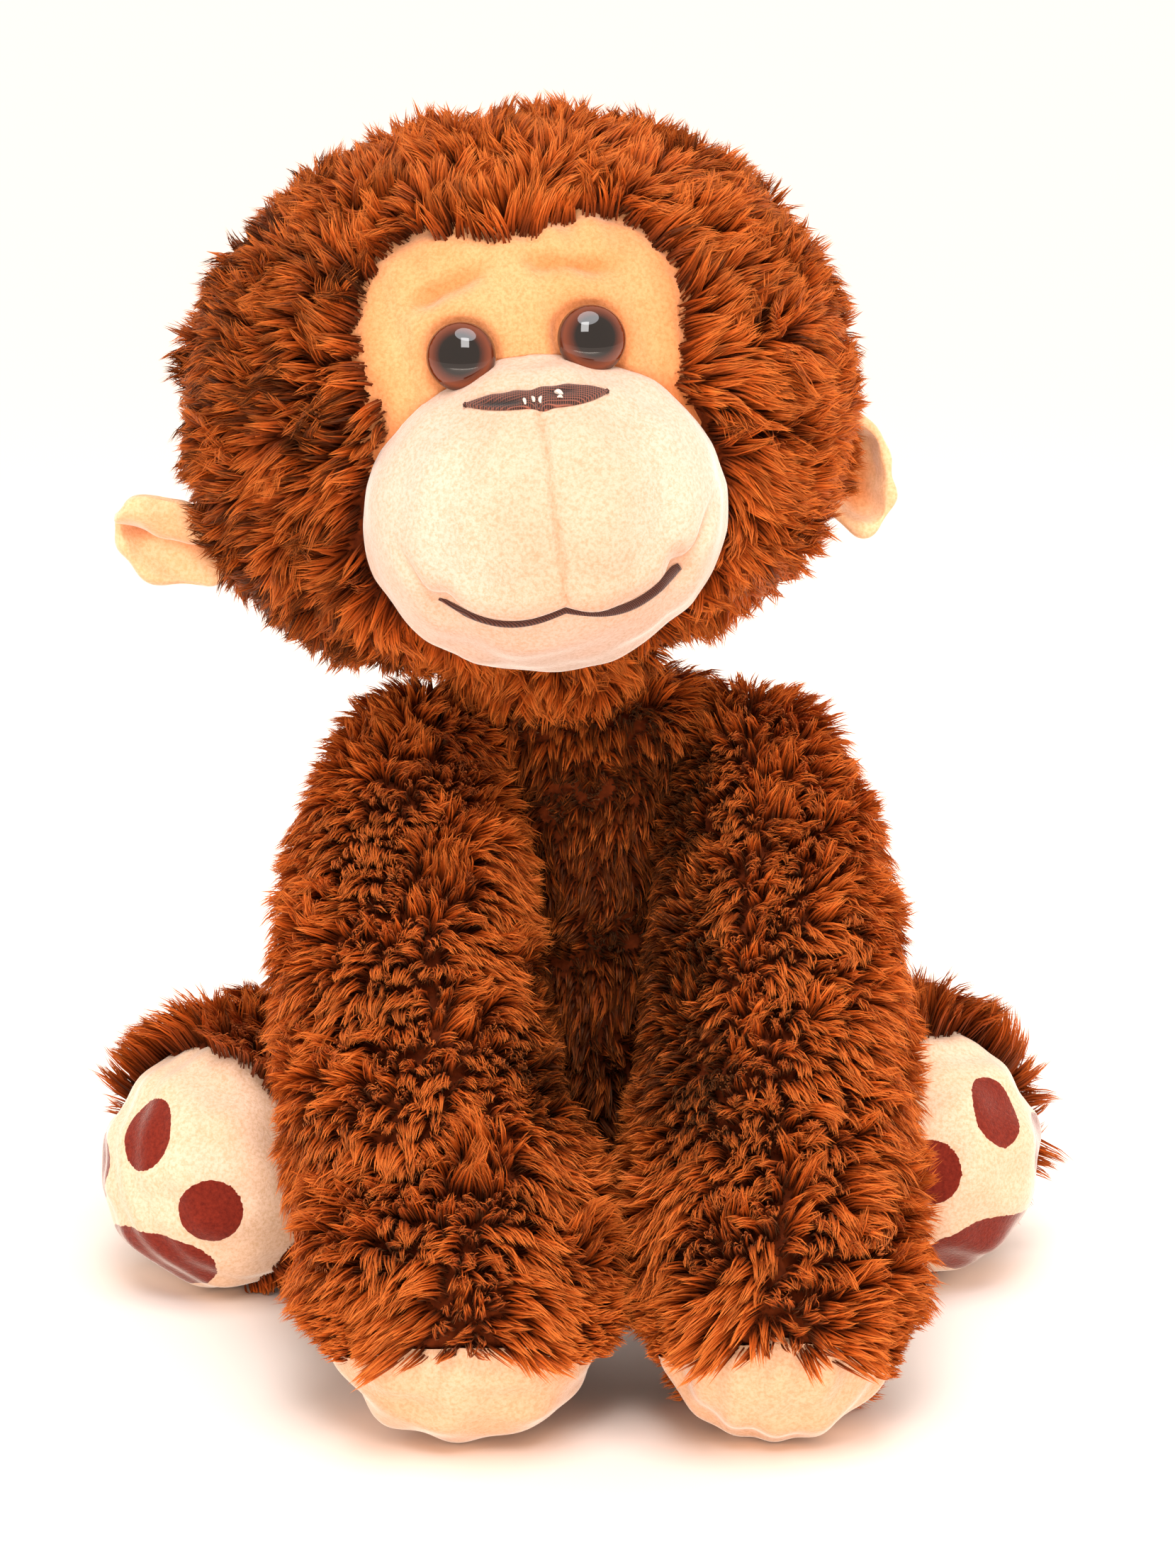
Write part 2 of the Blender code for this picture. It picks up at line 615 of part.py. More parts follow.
def torso_cutters():
    """The room that the torso leaves for the swinging limbs and the neck."""
    found = []
    for side, sign in SIDES.items():
        rest = [(Vector(p[-1]) - Vector(p[0])).normalized() for p in (ARM_PATHS[side], LEG_PATHS[side])]
        out = Vector((sign * ARM_SWING_WAY.x, ARM_SWING_WAY.y, ARM_SWING_WAY.z)).normalized()
        axis = rest[0].cross(out).normalized()
        ways = [rest[0], Matrix.Rotation(ARM_SWING, 3, axis) @ rest[0]]
        found.append(swing_room(side, "arm", ARM_PATHS[side], ARM_RADII[side], ways, axis))
        up = Vector((0, 0, sign))
        ways = [Matrix.Rotation(turn, 3, up) @ rest[1] for turn in (-LEG_SWING_IN, LEG_SWING_OUT)]
        found.append(swing_room(side, "leg", LEG_PATHS[side], LEG_RADII, ways, up))
    neck = add_cutter("torso_neck_cut", ellipsoid("torso_neck_cut", (NECK_RADIUS + GAP,) * 3))
    neck.location = NECK_PIVOT
    return [*found, neck]


def build_torso():
    """A seat panel, a belly panel and two back panels, round the filling."""
    room = torso_cutters()
    outer = torso_form("torso_outer", 0)
    hollow = add_cutter("torso_hollow", torso_form("torso_hollow", INSIDE))
    above_seat = half_space("above_seat", (0, 0, BASE_HEIGHT), (0, 0, 1), None)
    below_seam = half_space("below_seam", (0, 0, BASE_HEIGHT + GAP), (0, 0, -1), None)
    behind = half_space("behind_belly", (0, BACK_SEAM_Y - GAP / 2, 0), (0, 1, 0), None)
    before = half_space("before_back", (0, BACK_SEAM_Y + GAP / 2, 0), (0, -1, 0), None)
    seat = add_piece("seat_panel", outer, "fur_brown")
    boolean(seat, "DIFFERENCE", hollow, above_seat, *room)
    belly = add_piece("belly_panel", outer, "fur_brown")
    boolean(belly, "DIFFERENCE", hollow, below_seam, behind, *room)
    for side, sign in SIDES.items():
        back = add_piece(f"back_panel_{side}", outer, "fur_brown")
        other = half_space(f"back_half_{side}", (sign * GAP / 2, 0, 0), (-sign, 0, 0), None)
        boolean(back, "DIFFERENCE", hollow, below_seam, before, other, *room)
    filling = add_piece("torso_stuffing", torso_form("torso_stuffing", FILLING), "filling_white")
    boolean(filling, "DIFFERENCE", *room)


def build_label():
    """A blank satin care label."""
    add_piece("care_label", box("care_label", LABEL_LOW, LABEL_HIGH), "label_white")


# The limbs ---------------------------------------------------------------------------------------------------


def limb_pieces(side, kind, path, radii, bare_name, seam_point, seam_normal, split_normal, names):
    """One limb round its pivot: two fur panels, a bare end panel past the seam plane, and the filling."""
    pivot = add_pivot(f"{kind}_pivot_{side}", Vector(path[0]) * MM)
    centre = seam_point - pivot.location
    floor = half_space(f"{kind}_floor_{side}", (0, 0, -pivot.location.z), (0, 0, -1), pivot)
    hollow = add_cutter(f"{kind}_hollow_{side}", limb_form("limb_hollow", path, radii, INSIDE), pivot)
    past_seam = half_space(f"{kind}_end_{side}", centre, seam_normal, pivot)
    before_seam = half_space(f"{kind}_start_{side}", centre + seam_normal * GAP, -seam_normal, pivot)
    outer = limb_form(f"{kind}_outer_{side}", path, radii, 0)
    for name, sign in zip(names, (1, -1)):
        panel = add_piece(f"{kind}_{name}_{side}", outer, "fur_brown", pivot)
        way = sign * split_normal
        other = half_space(f"{kind}_{name}_half_{side}", way * GAP / 2, -way, pivot)
        boolean(panel, "DIFFERENCE", hollow, past_seam, floor, other)
    skin = limb_form(f"{bare_name}_{side}", path, radii, BARE)
    bare = add_piece(f"{bare_name}_{side}", skin, "minky_peach", pivot)
    boolean(bare, "DIFFERENCE", hollow, before_seam, floor)
    filling = limb_form(f"{kind}_stuffing_{side}", path, radii, FILLING)
    add_piece(f"{kind}_stuffing_{side}", filling, "filling_white", pivot)


def build_arm(side):
    """An arm whose panels meet along its top and underside, with a palm under the paw."""
    path = [Vector(p) for p in ARM_PATHS[side]]
    along = path[-1] - path[0]
    sideways = Vector((-along.y, along.x, 0)).normalized() * SIDES[side]
    palm = PALM_NORMAL.normalized()
    seam = path[-1] * MM + palm * PALM_DEPTH
    limb_pieces(side, "arm", path, ARM_RADII[side], "palm", seam, palm, sideways, ("outer", "inner"))


def build_leg(side):
    """A leg whose panels meet along its sides, with a round sole."""
    path = [Vector(p) for p in LEG_PATHS[side]]
    way = (path[-1] - path[0]).normalized()
    seam = path[-1] * MM + way * SOLE_DEPTH
    across = way.cross(Vector((0, 0, 1))).normalized()
    limb_pieces(side, "leg", path, LEG_RADII, "sole", seam, way, across.cross(way), ("upper", "lower"))


clear_scene()
monkey = make_collection("stuffed_monkey")
cutters = make_collection("cutters")
materials = {name: make_material(name) for name in COLOURS}
build_head()
build_neck()
build_torso()
build_label()
for each in SIDES:
    build_arm(each)
    build_leg(each)
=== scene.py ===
"""Looks of the stuffed monkey: long fur, a soft napped face, glossy eyes, a sewn nose and mouth, soft soles.

Every skin is grown from the CAD solids, so it sits where they are. The fur is real mesh: tapered, curved
ribbons gathered in tufts, combed over each skin. Lengths are in metres, or in millimetres times MM.
"""

import json
import math

import bmesh
import bpy
import numpy as np
from mathutils import Matrix, Vector
from mathutils.bvhtree import BVHTree


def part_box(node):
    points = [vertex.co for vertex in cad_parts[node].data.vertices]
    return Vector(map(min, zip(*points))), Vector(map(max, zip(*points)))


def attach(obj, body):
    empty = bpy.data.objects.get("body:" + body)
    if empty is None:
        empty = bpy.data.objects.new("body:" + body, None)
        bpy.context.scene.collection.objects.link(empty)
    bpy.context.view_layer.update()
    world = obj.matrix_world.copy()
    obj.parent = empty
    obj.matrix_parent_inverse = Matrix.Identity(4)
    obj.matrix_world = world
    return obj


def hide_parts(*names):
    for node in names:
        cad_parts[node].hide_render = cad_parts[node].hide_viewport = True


MM = 0.001
PILE = 3.4 * MM  # the CAD's fur solids reach this far over the backing cloth
FLOOR_GAP = 0.3 * MM
TUFT_SPACING = 2.6 * MM
TUFT_FIBRES = 15
PIECE_FIBRES = 38000
FIBRE_WIDTH = 0.42 * MM
TUFT_RADIUS = 1.65 * MM
TIP_SCATTER = 0.3 * MM
BEND_SCATTER = 0.25 * MM
FUR_LENGTH = 9.6 * MM
HEAD_FUR_LENGTH = 10 * MM
CLOTH_LEVEL = 1.55 * MM  # from the filling's solid out to the fur's backing cloth
BARE_PUSH = 2.6 * MM  # the backing sinks this far under the napped pieces
NAP_REACH = 3.6 * MM  # a napped piece goes on this far past its CAD panel, under the fur
BROW_REACH = 3.5 * MM  # the same for the brow, and how far it goes on under the muzzle
BROW_UNDER = 12 * MM
EYE_RADIUS = 7.8  # millimetres, as are the next three
EYE_HEIGHT = 5.2
EYE_SEAT = 4.7  # from the top of the CAD eye down to the dome's rim
EYE_RIM = 0.7  # height of the dome's widest ring
RIM_POINTS = 64
MOUTH_REACH = 27  # millimetres from the middle to each end of the smile
WAVES = 7
CELL_KEYS = np.array((73856093, 19349663, 83492791))  # primes that give each cell of a grid its number
TRIES = 4  # points tried for each cell

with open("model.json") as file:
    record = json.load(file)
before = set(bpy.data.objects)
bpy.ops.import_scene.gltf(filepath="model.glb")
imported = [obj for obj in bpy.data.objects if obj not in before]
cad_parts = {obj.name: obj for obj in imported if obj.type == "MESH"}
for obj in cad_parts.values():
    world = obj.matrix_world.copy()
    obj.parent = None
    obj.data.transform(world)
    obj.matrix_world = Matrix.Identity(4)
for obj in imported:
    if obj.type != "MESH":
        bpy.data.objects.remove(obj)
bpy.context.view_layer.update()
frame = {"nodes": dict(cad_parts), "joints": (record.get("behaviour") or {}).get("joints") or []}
nodes = frame["nodes"]
joints = {j["name"]: j for j in frame["joints"]}
scene = bpy.context.scene

# The head's own frame: its centre, and the turn from upright
NECK = np.array(joints["head_nod"]["pos_m"])
HEAD_TURN = Matrix.Rotation(math.radians(5), 3, "Z") @ Matrix.Rotation(math.radians(-7), 3, "Y")
HEAD_TURN = HEAD_TURN @ Matrix.Rotation(math.radians(-6), 3, "X")
HEAD = np.array(HEAD_TURN)
HEAD_CENTRE = NECK + HEAD @ np.array((0, 0, 60 * MM))


# Arrays and meshes --------------------------------------------------------------------------------


def get(mesh, what):
    """Coordinates or normals of a mesh's vertices."""
    source = mesh.vertices if what == "co" else mesh.vertex_normals
    found = np.zeros(len(mesh.vertices) * 3)
    source.foreach_get("co" if what == "co" else "vector", found)
    return found.reshape(-1, 3)


def put(mesh, points):
    mesh.vertices.foreach_set("co", np.ascontiguousarray(points, np.float32).ravel())
    mesh.update()


def put_above_floor(mesh, points):
    points[:, 2] = np.maximum(points[:, 2], FLOOR_GAP)
    put(mesh, points)


def unit(vectors):
    return vectors / np.maximum(np.linalg.norm(vectors, axis=-1, keepdims=True), 1e-12)


def across(vectors, normals):
    """The part of each vector that lies in the surface."""
    return vectors - normals * (vectors * normals).sum(-1, keepdims=True)


def smoothstep(low, high, values):
    share = np.clip((values - low) / (high - low), 0, 1)
    return share * share * (3 - 2 * share)


def swirl(points, size, seed, width=3):
    """A smooth random field, about 1 in size, that changes over the given distance."""
    local = np.random.default_rng(seed)
    total = np.zeros((len(points), width))
    for _ in range(WAVES):
        wave = unit(local.normal(size=3)) * 2 * math.pi / (size * local.uniform(0.7, 1.6))
        total += np.sin(points @ wave + local.uniform(0, 2 * math.pi))[:, None] * local.normal(size=width)
    return total / math.sqrt(WAVES / 2)


def new_object(name, mesh):
    made = bpy.data.objects.new(name, mesh)
    scene.collection.objects.link(made)
    return made


def applied(obj):
    """Swaps the object's mesh for the one that its modifiers make."""
    bpy.context.view_layer.update()
    mesh = bpy.data.meshes.new_from_object(obj.evaluated_get(bpy.context.evaluated_depsgraph_get()))
    obj.modifiers.clear()
    obj.data = mesh
    return obj


def built(name, shape):
    """The mesh of a shape built face by face, its faces all turned the same way."""
    bmesh.ops.recalc_face_normals(shape, faces=shape.faces)
    mesh = bpy.data.meshes.new(name)
    shape.to_mesh(mesh)
    shape.free()
    return mesh


def soft_base(name, names, voxel, relax=8, plugs=(), hull=False):
    """One closed, smooth surface round copies of the named CAD solids, or round their hull."""
    shape = bmesh.new()
    for each in names:
        shape.from_mesh(nodes[each].data)
    for point, radius in plugs:
        bmesh.ops.create_icosphere(shape, subdivisions=2, radius=radius, matrix=Matrix.Translation(point))
    bmesh.ops.remove_doubles(shape, verts=shape.verts, dist=1e-6)
    if hull:
        around = bmesh.ops.convex_hull(shape, input=shape.verts)["geom"]
        inner = set(shape.verts) - {v for v in around if isinstance(v, bmesh.types.BMVert)}
        bmesh.ops.delete(shape, geom=list(inner), context="VERTS")
    mesh = bpy.data.meshes.new(name)
    shape.to_mesh(mesh)
    shape.free()
    obj = new_object(name, mesh)
    remesh = obj.modifiers.new("voxels", "REMESH")
    remesh.mode, remesh.voxel_size = "VOXEL", voxel
    smooth = obj.modifiers.new("relax", "SMOOTH")
    smooth.factor, smooth.iterations = 0.5, relax
    applied(obj)
    obj.data.shade_smooth()
    return obj


def search_tree(meshes):
    verts, faces = [], []
    for mesh in meshes:
        start = len(verts)
        verts += [v.co.copy() for v in mesh.vertices]
        faces += [[start + k for k in p.vertices] for p in mesh.polygons]
    return BVHTree.FromPolygons(verts, faces)


def distances(points, names):
    """How far each point is from the named CAD solids."""
    found = search_tree([nodes[each].data for each in names])
    return np.array([found.find_nearest(Vector(p))[3] for p in points])


def surface_samples(mesh, spacing, rng, mask=None):
    """Evenly scattered points on a mesh: positions, normals and, if asked, the mask there."""
    mesh.calc_loop_triangles()
    corners = np.zeros(len(mesh.loop_triangles) * 3, int)
    mesh.loop_triangles.foreach_get("vertices", corners)
    corners = corners.reshape(-1, 3)
    co, normals = get(mesh, "co"), get(mesh, "normal")
    a, b, c = (co[corners[:, k]] for k in range(3))
    areas = np.linalg.norm(np.cross(b - a, c - a), axis=1) / 2
    count = int(areas.sum() / spacing**2 * TRIES)
    chosen = rng.choice(len(areas), count, p=areas / areas.sum())
    u, v = rng.random(count), rng.random(count)
    u, v = np.where(u + v > 1, 1 - u, u), np.where(u + v > 1, 1 - v, v)
    share = np.stack([1 - u - v, u, v], 1)[:, :, None]
    points = (co[corners[chosen]] * share).sum(1)
    cell = np.floor(points / (spacing * 0.92)).astype(np.int64)
    _, keep = np.unique(np.bitwise_xor.reduce(cell * CELL_KEYS, axis=1), return_index=True)
    kept_normals = unit((normals[corners[chosen]] * share).sum(1))[keep]
    masks = None if mask is None else (mask[corners[chosen]] * share[:, :, 0]).sum(1)[keep]
    return points[keep], kept_normals, masks


# Materials ----------------------------------------------------------------------------------------


class Shader:
    """A small helper to write node materials."""

    def __init__(self, name, **sockets):
        self.material = bpy.data.materials.new(name)
        self.material.use_nodes = True
        self.tree = self.material.node_tree
        self.bsdf = self.tree.nodes["Principled BSDF"]
        for key, value in sockets.items():
            self.bsdf.inputs[key.replace("_", " ")].default_value = value

    def add(self, kind, inputs=(), **settings):
        made = self.tree.nodes.new(kind)
        for key, value in settings.items():
            setattr(made, key, value)
        for key, value in dict(inputs).items():
            if isinstance(value, bpy.types.NodeSocket):
                self.tree.links.new(value, made.inputs[key])
            else:
                made.inputs[key].default_value = value
        return made

    def ramp(self, value, *stops):
        made = self.add("ShaderNodeValToRGB", {"Fac": value})
        ramp = made.color_ramp
        while len(ramp.elements) < len(stops):
            ramp.elements.new(0.5)
        for element, (place, colour) in zip(ramp.elements, stops):
            element.position, element.color = place, (*colour, 1)
        return made.outputs["Color"]

    def mix(self, share, first, second, blend="MIX"):
        made = self.add("ShaderNodeMix", {0: share, 6: first, 7: second}, data_type="RGBA", blend_type=blend)
        return made.outputs[2]

    def noise(self, vector, scale, detail=2.0, roughness=0.5):
        inputs = {"Vector": vector, "Scale": scale, "Detail": detail, "Roughness": roughness}
        return self.add("ShaderNodeTexNoise", inputs).outputs["Fac"]

    def place(self):
        return self.add("ShaderNodeTexCoord").outputs["Object"]

    def colour(self, socket):
        self.tree.links.new(socket, self.bsdf.inputs["Base Color"])

    def bump(self, height, strength, distance):
        made = self.add("ShaderNodeBump", {"Height": height, "Strength": strength, "Distance": distance})
        self.tree.links.new(made.outputs["Normal"], self.bsdf.inputs["Normal"])


def rgb(red, green, blue):
    """Linear colour from the 0 to 255 values that a screen shows."""
    shown = (red, green, blue)
    return tuple(((v / 255 + 0.055) / 1.055) ** 2.4 if v > 10 else v / 255 / 12.92 for v in shown)


def fur_material():
    """Dark at the root, light at the tip.

    The ribbons' own coordinates say how far along a place is, and how light its tuft is.
    """
    made = Shader("fur", Roughness=0.5, Specular_IOR_Level=0.16, Sheen_Weight=0.12, Sheen_Roughness=0.4)
    made.bsdf.inputs["Sheen Tint"].default_value = (1.0, 0.58, 0.28, 1)
    made.bsdf.inputs["Specular Tint"].default_value = (1.0, 0.72, 0.45, 1)
    strand = made.add("ShaderNodeUVMap", uv_map="OFBake").outputs["UV"]
    split = made.add("ShaderNodeSeparateXYZ", {"Vector": strand})
    along = made.ramp(
        split.outputs["Y"],
        (0.0, rgb(78, 29, 10)),
        (0.3, rgb(120, 48, 14)),
        (0.62, rgb(172, 75, 22)),
        (1.0, rgb(212, 118, 52)),
    )
    tone = made.ramp(
        split.outputs["X"],
        (0.0, (0.07, 0.06, 0.06)),
        (0.15, (0.52, 0.47, 0.44)),
        (0.5, (0.99, 0.96, 0.93)),
        (1.0, (1.22, 1.2, 1.15)),
    )
    toned = made.mix(1.0, along, tone, "MULTIPLY")
    stretched = made.add("ShaderNodeVectorMath", {0: strand, 1: (90, 4, 1)}, operation="MULTIPLY")
    streak = made.ramp(made.noise(stretched.outputs[0], 1.0), (0.3, (0.82,) * 3), (0.7, (1.1,) * 3))
    made.colour(made.mix(1.0, toned, streak, "MULTIPLY"))
    return made.material


def backing_material():
    """The knitted cloth between the fur's roots."""
    made = Shader("fur_backing", Roughness=0.95, Specular_IOR_Level=0.1)
    place = made.place()
    mottled = made.noise(place, 600, 3)
    made.colour(made.ramp(mottled, (0.3, rgb(74, 28, 10)), (0.7, rgb(110, 45, 17))))
    made.bump(mottled, 0.4, 0.4 * MM)
    return made.material


def nap_material(name, light, deep, pad=None):
    """Short dense nap: fine mottling, soft clouds of tone where it lies differently, and a grainy surface.

    The mesh's "shade" says where painted shade makes it deeper and warmer, and its "pad" where a pad is
    printed.
    """
    made = Shader(name, Roughness=0.9, Specular_IOR_Level=0.15, Sheen_Weight=1.0, Sheen_Roughness=0.35)
    made.bsdf.inputs["Sheen Tint"].default_value = (1.0, 0.96, 0.9, 1)
    place = made.place()
    clouds = made.noise(place, 55, 3, 0.55)
    grain = made.noise(place, 2400, 2, 0.6)
    tufts = made.noise(place, 1150, 3, 0.65)
    base = made.ramp(clouds, (0.3, deep), (0.7, light))
    fine = made.ramp(tufts, (0.34, (0.86, 0.78, 0.67)), (0.6, (1.02, 1.03, 1.05)))
    # Painted shade: the "shade" attribute darkens and warms the nap.
    shade = made.add("ShaderNodeAttribute", attribute_name="shade").outputs["Fac"]
    shaded = made.mix(shade, (1, 1, 1, 1), (0.84, 0.56, 0.38, 1))
    colour = made.mix(1.0, made.mix(1.0, base, fine, "MULTIPLY"), shaded, "MULTIPLY")
    if pad:
        dark, print_light = pad
        mask = made.add("ShaderNodeAttribute", attribute_name="pad").outputs["Fac"]
        ragged = made.add("ShaderNodeMath", {0: mask, 1: made.noise(place, 900, 2)}, operation="ADD")
        inked = made.ramp(ragged.outputs[0], (0.93, (0, 0, 0)), (1.0, (1, 1, 1)))
        ink = made.ramp(tufts, (0.25, dark), (0.8, print_light))
        colour = made.mix(inked, colour, ink)
    made.colour(colour)
    height = made.add("ShaderNodeMath", {0: tufts, 1: grain}, operation="ADD").outputs[0]
    made.bump(height, 0.35, 0.35 * MM)
    return made.material


def finish_piece(obj, body, material, stands_for=()):
    """Gives a piece its material and its body and, if it stands for CAD nodes, hides them."""
    obj.data.materials.clear()
    obj.data.materials.append(material)
    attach(obj, body)
    if stands_for:
        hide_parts(*stands_for)


# Fur ----------------------------------------------------------------------------------------------


def side_ways(normals, rng):
    """Two directions in the surface at each point."""
    first = unit(across(rng.normal(size=normals.shape), normals))
    return first, np.cross(normals, first)


def fibres(points, normals, ways, lengths, tones, rng, count, width):
    """Vertices and texture coordinates of tapered, curved ribbons, so many for each tuft."""
    pick = np.repeat(np.arange(len(points)), count)
    total = len(pick)
    normal, way = normals[pick], ways[pick]
    length = lengths[pick] * rng.uniform(0.72, 1.1, total)
    first, second = side_ways(normal, rng)
    turn, reach = rng.uniform(0, 2 * math.pi, total), np.sqrt(rng.random(total)) * TUFT_RADIUS
    out = first * np.cos(turn)[:, None] + second * np.sin(turn)[:, None]
    root = points[pick] + out * reach[:, None]
    tip = points[pick] + way * length[:, None] + out * (reach * 0.34)[:, None]
    tip += rng.normal(size=(total, 3)) * TIP_SCATTER
    middle = root + normal * (length * 0.5)[:, None] + way * (length * 0.12)[:, None]
    middle += rng.normal(size=(total, 3)) * BEND_SCATTER
    along = unit(tip - root)
    flat = unit(np.cross(along, normal) + across(rng.normal(size=(total, 3)), along) * 0.45)
    rows = []
    for share, size in ((0.0, 0.9), (0.42, 1.0), (0.76, 0.66), (1.0, 0.0)):
        centre = root * (1 - share) ** 2 + middle * 2 * share * (1 - share) + tip * share**2
        half = flat * (width * size / 2 * rng.uniform(0.75, 1.25, total))[:, None]
        rows += [centre] if size == 0 else [centre - half, centre + half]
    verts = np.stack(rows, 1)
    verts[:, :, 2] = np.maximum(verts[:, :, 2], FLOOR_GAP)
    tone = np.clip(tones[pick] + rng.normal(size=total) * 0.07, 0.02, 0.98)
    coords = np.zeros((total, RIBBON_POINTS, 2))
    coords[:, :, 0] = tone[:, None]
    coords[:, :, 1] = (0.01, 0.01, 0.42, 0.42, 0.76, 0.76, 0.99)
    return verts, coords


RIBBON = np.array([0, 1, 3, 2, 2, 3, 5, 4, 4, 5, 6])  # two four-sided faces and the tip's triangle
RIBBON_STARTS = np.array([0, 4, 8])
RIBBON_POINTS = 7


def ribbon_mesh(name, verts, coords):
    count = len(verts)
    mesh = bpy.data.meshes.new(name)
    mesh.vertices.add(count * RIBBON_POINTS)
    mesh.vertices.foreach_set("co", verts.astype(np.float32).ravel())
    mesh.loops.add(count * len(RIBBON))
    steps = np.arange(count)[:, None]
    corners = RIBBON + steps * RIBBON_POINTS
    mesh.loops.foreach_set("vertex_index", corners.astype(np.int32).ravel())
    mesh.polygons.add(count * len(RIBBON_STARTS))
    starts = RIBBON_STARTS + steps * len(RIBBON)
    mesh.polygons.foreach_set("loop_start", starts.astype(np.int32).ravel())
    layer = mesh.uv_layers.new(name="OFBake")
    layer.uv.foreach_set("vector", coords[:, RIBBON].astype(np.float32).ravel())
    mesh.polygons.foreach_set("use_smooth", np.ones(len(mesh.polygons), bool))
    mesh.update(calc_edges=True)
    return mesh


def grow(name, body, points, normals, ways, lengths, tones, seed, count=TUFT_FIBRES):
    """Fur over the points, in pieces that each stay a fair size."""
    rng = np.random.default_rng(seed)
    order = np.argsort(points[:, 2] + 0.3 * points[:, 0])
    width = FIBRE_WIDTH
    step = PIECE_FIBRES // count
    for k, start in enumerate(range(0, len(order), step)):
        part = order[start : start + step]
        tufts = (each[part] for each in (points, normals, ways, lengths, tones))
        verts, coords = fibres(*tufts, rng, count, width)
        obj = new_object(f"{name}_{k + 1}", ribbon_mesh(f"{name}_{k + 1}", verts, coords))
        finish_piece(obj, body, FUR)


def comb(points, normals, wanted, seed, lift=0.62, strength=0.62, wild=0.42, size=17 * MM):
    """Which way each tuft points: out of the surface, along the wanted way, with swirls."""
    flow = unit(across(wanted, normals)) * strength
    flow += across(swirl(points, size, seed), normals) * wild
    flow += across(swirl(points, size * 0.33, seed + 50), normals) * wild * 0.6
    return unit(normals * lift + flow)


def fur_lengths(points, seed, middle=FUR_LENGTH):
    return middle * (1 + 0.1 * swirl(points, 12 * MM, seed, 1)[:, 0]).clip(0.75, 1.25)


FUR = fur_material()
BACKING = backing_material()
MUZZLE = nap_material("muzzle_nap", rgb(226, 194, 176), rgb(218, 184, 163))
BROW = nap_material("brow_nap", rgb(230, 166, 116), rgb(224, 154, 102))
EAR = nap_material("ear_nap", rgb(244, 198, 156), rgb(238, 182, 136))
PALM = nap_material("palm_nap", rgb(224, 180, 147), rgb(215, 168, 131))
PAD_INK = (rgb(92, 22, 13), rgb(136, 44, 27))
SOLE = nap_material("sole_nap", rgb(234, 202, 176), rgb(228, 190, 158), pad=PAD_INK)


def even_level(bare):
    return np.full(len(bare), CLOTH_LEVEL)


def fur_body(body, base, fur_nodes, bare_nodes, level, direction, seed, stands_for, dim=None, reach=None):
    """A body's backing cloth and its fur. Gives the points of its skin, and the skin's mesh.

    level says how far out of the base mesh the skin is, direction how the fur lies and how long it is, dim
    how much darker its fur is painted, mostly as painted shade, and reach how much further than its CAD panel
    the bare cloth goes.
    """
    mesh = base.data
    points, normals = get(mesh, "co"), get(mesh, "normal")
    bare = np.zeros(len(points))
    if bare_nodes:
        further = reach(points) if reach else 0
        bare = (distances(points, bare_nodes) < distances(points, fur_nodes) + further).astype(float)
    points = points + normals * level(bare)[:, None]
    points[:, 2] = np.maximum(points[:, 2], FLOOR_GAP)
    put(mesh, points - normals * (bare * BARE_PUSH)[:, None])
    finish_piece(base, body, BACKING, stands_for)
    skin = mesh.copy()
    put(skin, points)
    rng = np.random.default_rng(seed)
    at, out, bareness = surface_samples(skin, TUFT_SPACING, rng, bare)
    keep = (bareness < 0.5) & ((at[:, 2] > 2.2 * MM) | (out[:, 2] > -0.5))
    at, out = at[keep], out[keep]
    ways, lengths = direction(at, out)
    clouds = 0.12 * swirl(at, 24 * MM, seed + 9, 1)[:, 0]
    tones = np.clip(0.52 + 0.15 * rng.normal(size=len(at)) + clouds, 0.15, 1)
    if dim:
        tones -= dim(at)
    tones = np.clip(tones, 0.03, 0.97)
    grow(f"{body}_fur", body, at, out, ways, lengths, tones, seed)
    return points, skin


def cut_out(name, skin, keep):
    """The part of a skin whose points are kept, as its own mesh object."""
    obj = new_object(name, skin.copy())
    shape = bmesh.new()
    shape.from_mesh(obj.data)
    shape.verts.ensure_lookup_table()
    bmesh.ops.delete(shape, geom=[v for v in shape.verts if not keep[v.index]], context="VERTS")
    shape.to_mesh(obj.data)
    shape.free()
    return obj


def refine(obj, levels=1, relax=4):
    """Relaxes a mesh and gives it more, smoother faces."""
    smooth = obj.modifiers.new("relax", "SMOOTH")
    smooth.factor, smooth.iterations = 0.5, relax
    finer = obj.modifiers.new("finer", "SUBSURF")
    finer.levels = finer.render_levels = levels
    applied(obj)
    obj.data.shade_smooth()
    return obj


def thicken(obj, depth):
    """Gives a sheet of cloth its thickness, inwards."""
    solid = obj.modifiers.new("thickness", "SOLIDIFY")
    solid.thickness, solid.offset = depth, -1
    return applied(obj)


# Torso --------------------------------------------------------------------------------------------


def build_torso():
    base = soft_base("torso_skin", ["torso_stuffing"], 2.6 * MM)

    def pressed_and_shaded(points):
        """The belly's fur between the arms is shorter, lying flat, and painted darker there as painted shade
        where the arms shade it.
        """
        front = smoothstep(5 * MM, -15 * MM, points[:, 1])
        return 0.66 * front * smoothstep(165 * MM, 112 * MM, points[:, 2])

    def direction(points, normals):
        down = np.tile((0.0, 0.0, -1.0), (len(points), 1))
        clear = smoothstep(2 * MM, 7 * MM, distances(points, ["care_label"]))
        shorter = (1 - 0.6 * pressed_and_shaded(points)) * (0.25 + 0.75 * clear)
        return comb(points, normals, down, 21), fur_lengths(points, 22) * shorter

    panels = ["belly_panel", "back_panel_left", "back_panel_right", "seat_panel"]
    fur_body("torso", base, panels, [], even_level, direction, 20, ["torso_stuffing", *panels], dim=pressed_and_shaded)


# Limbs --------------------------------------------------------------------------------------------


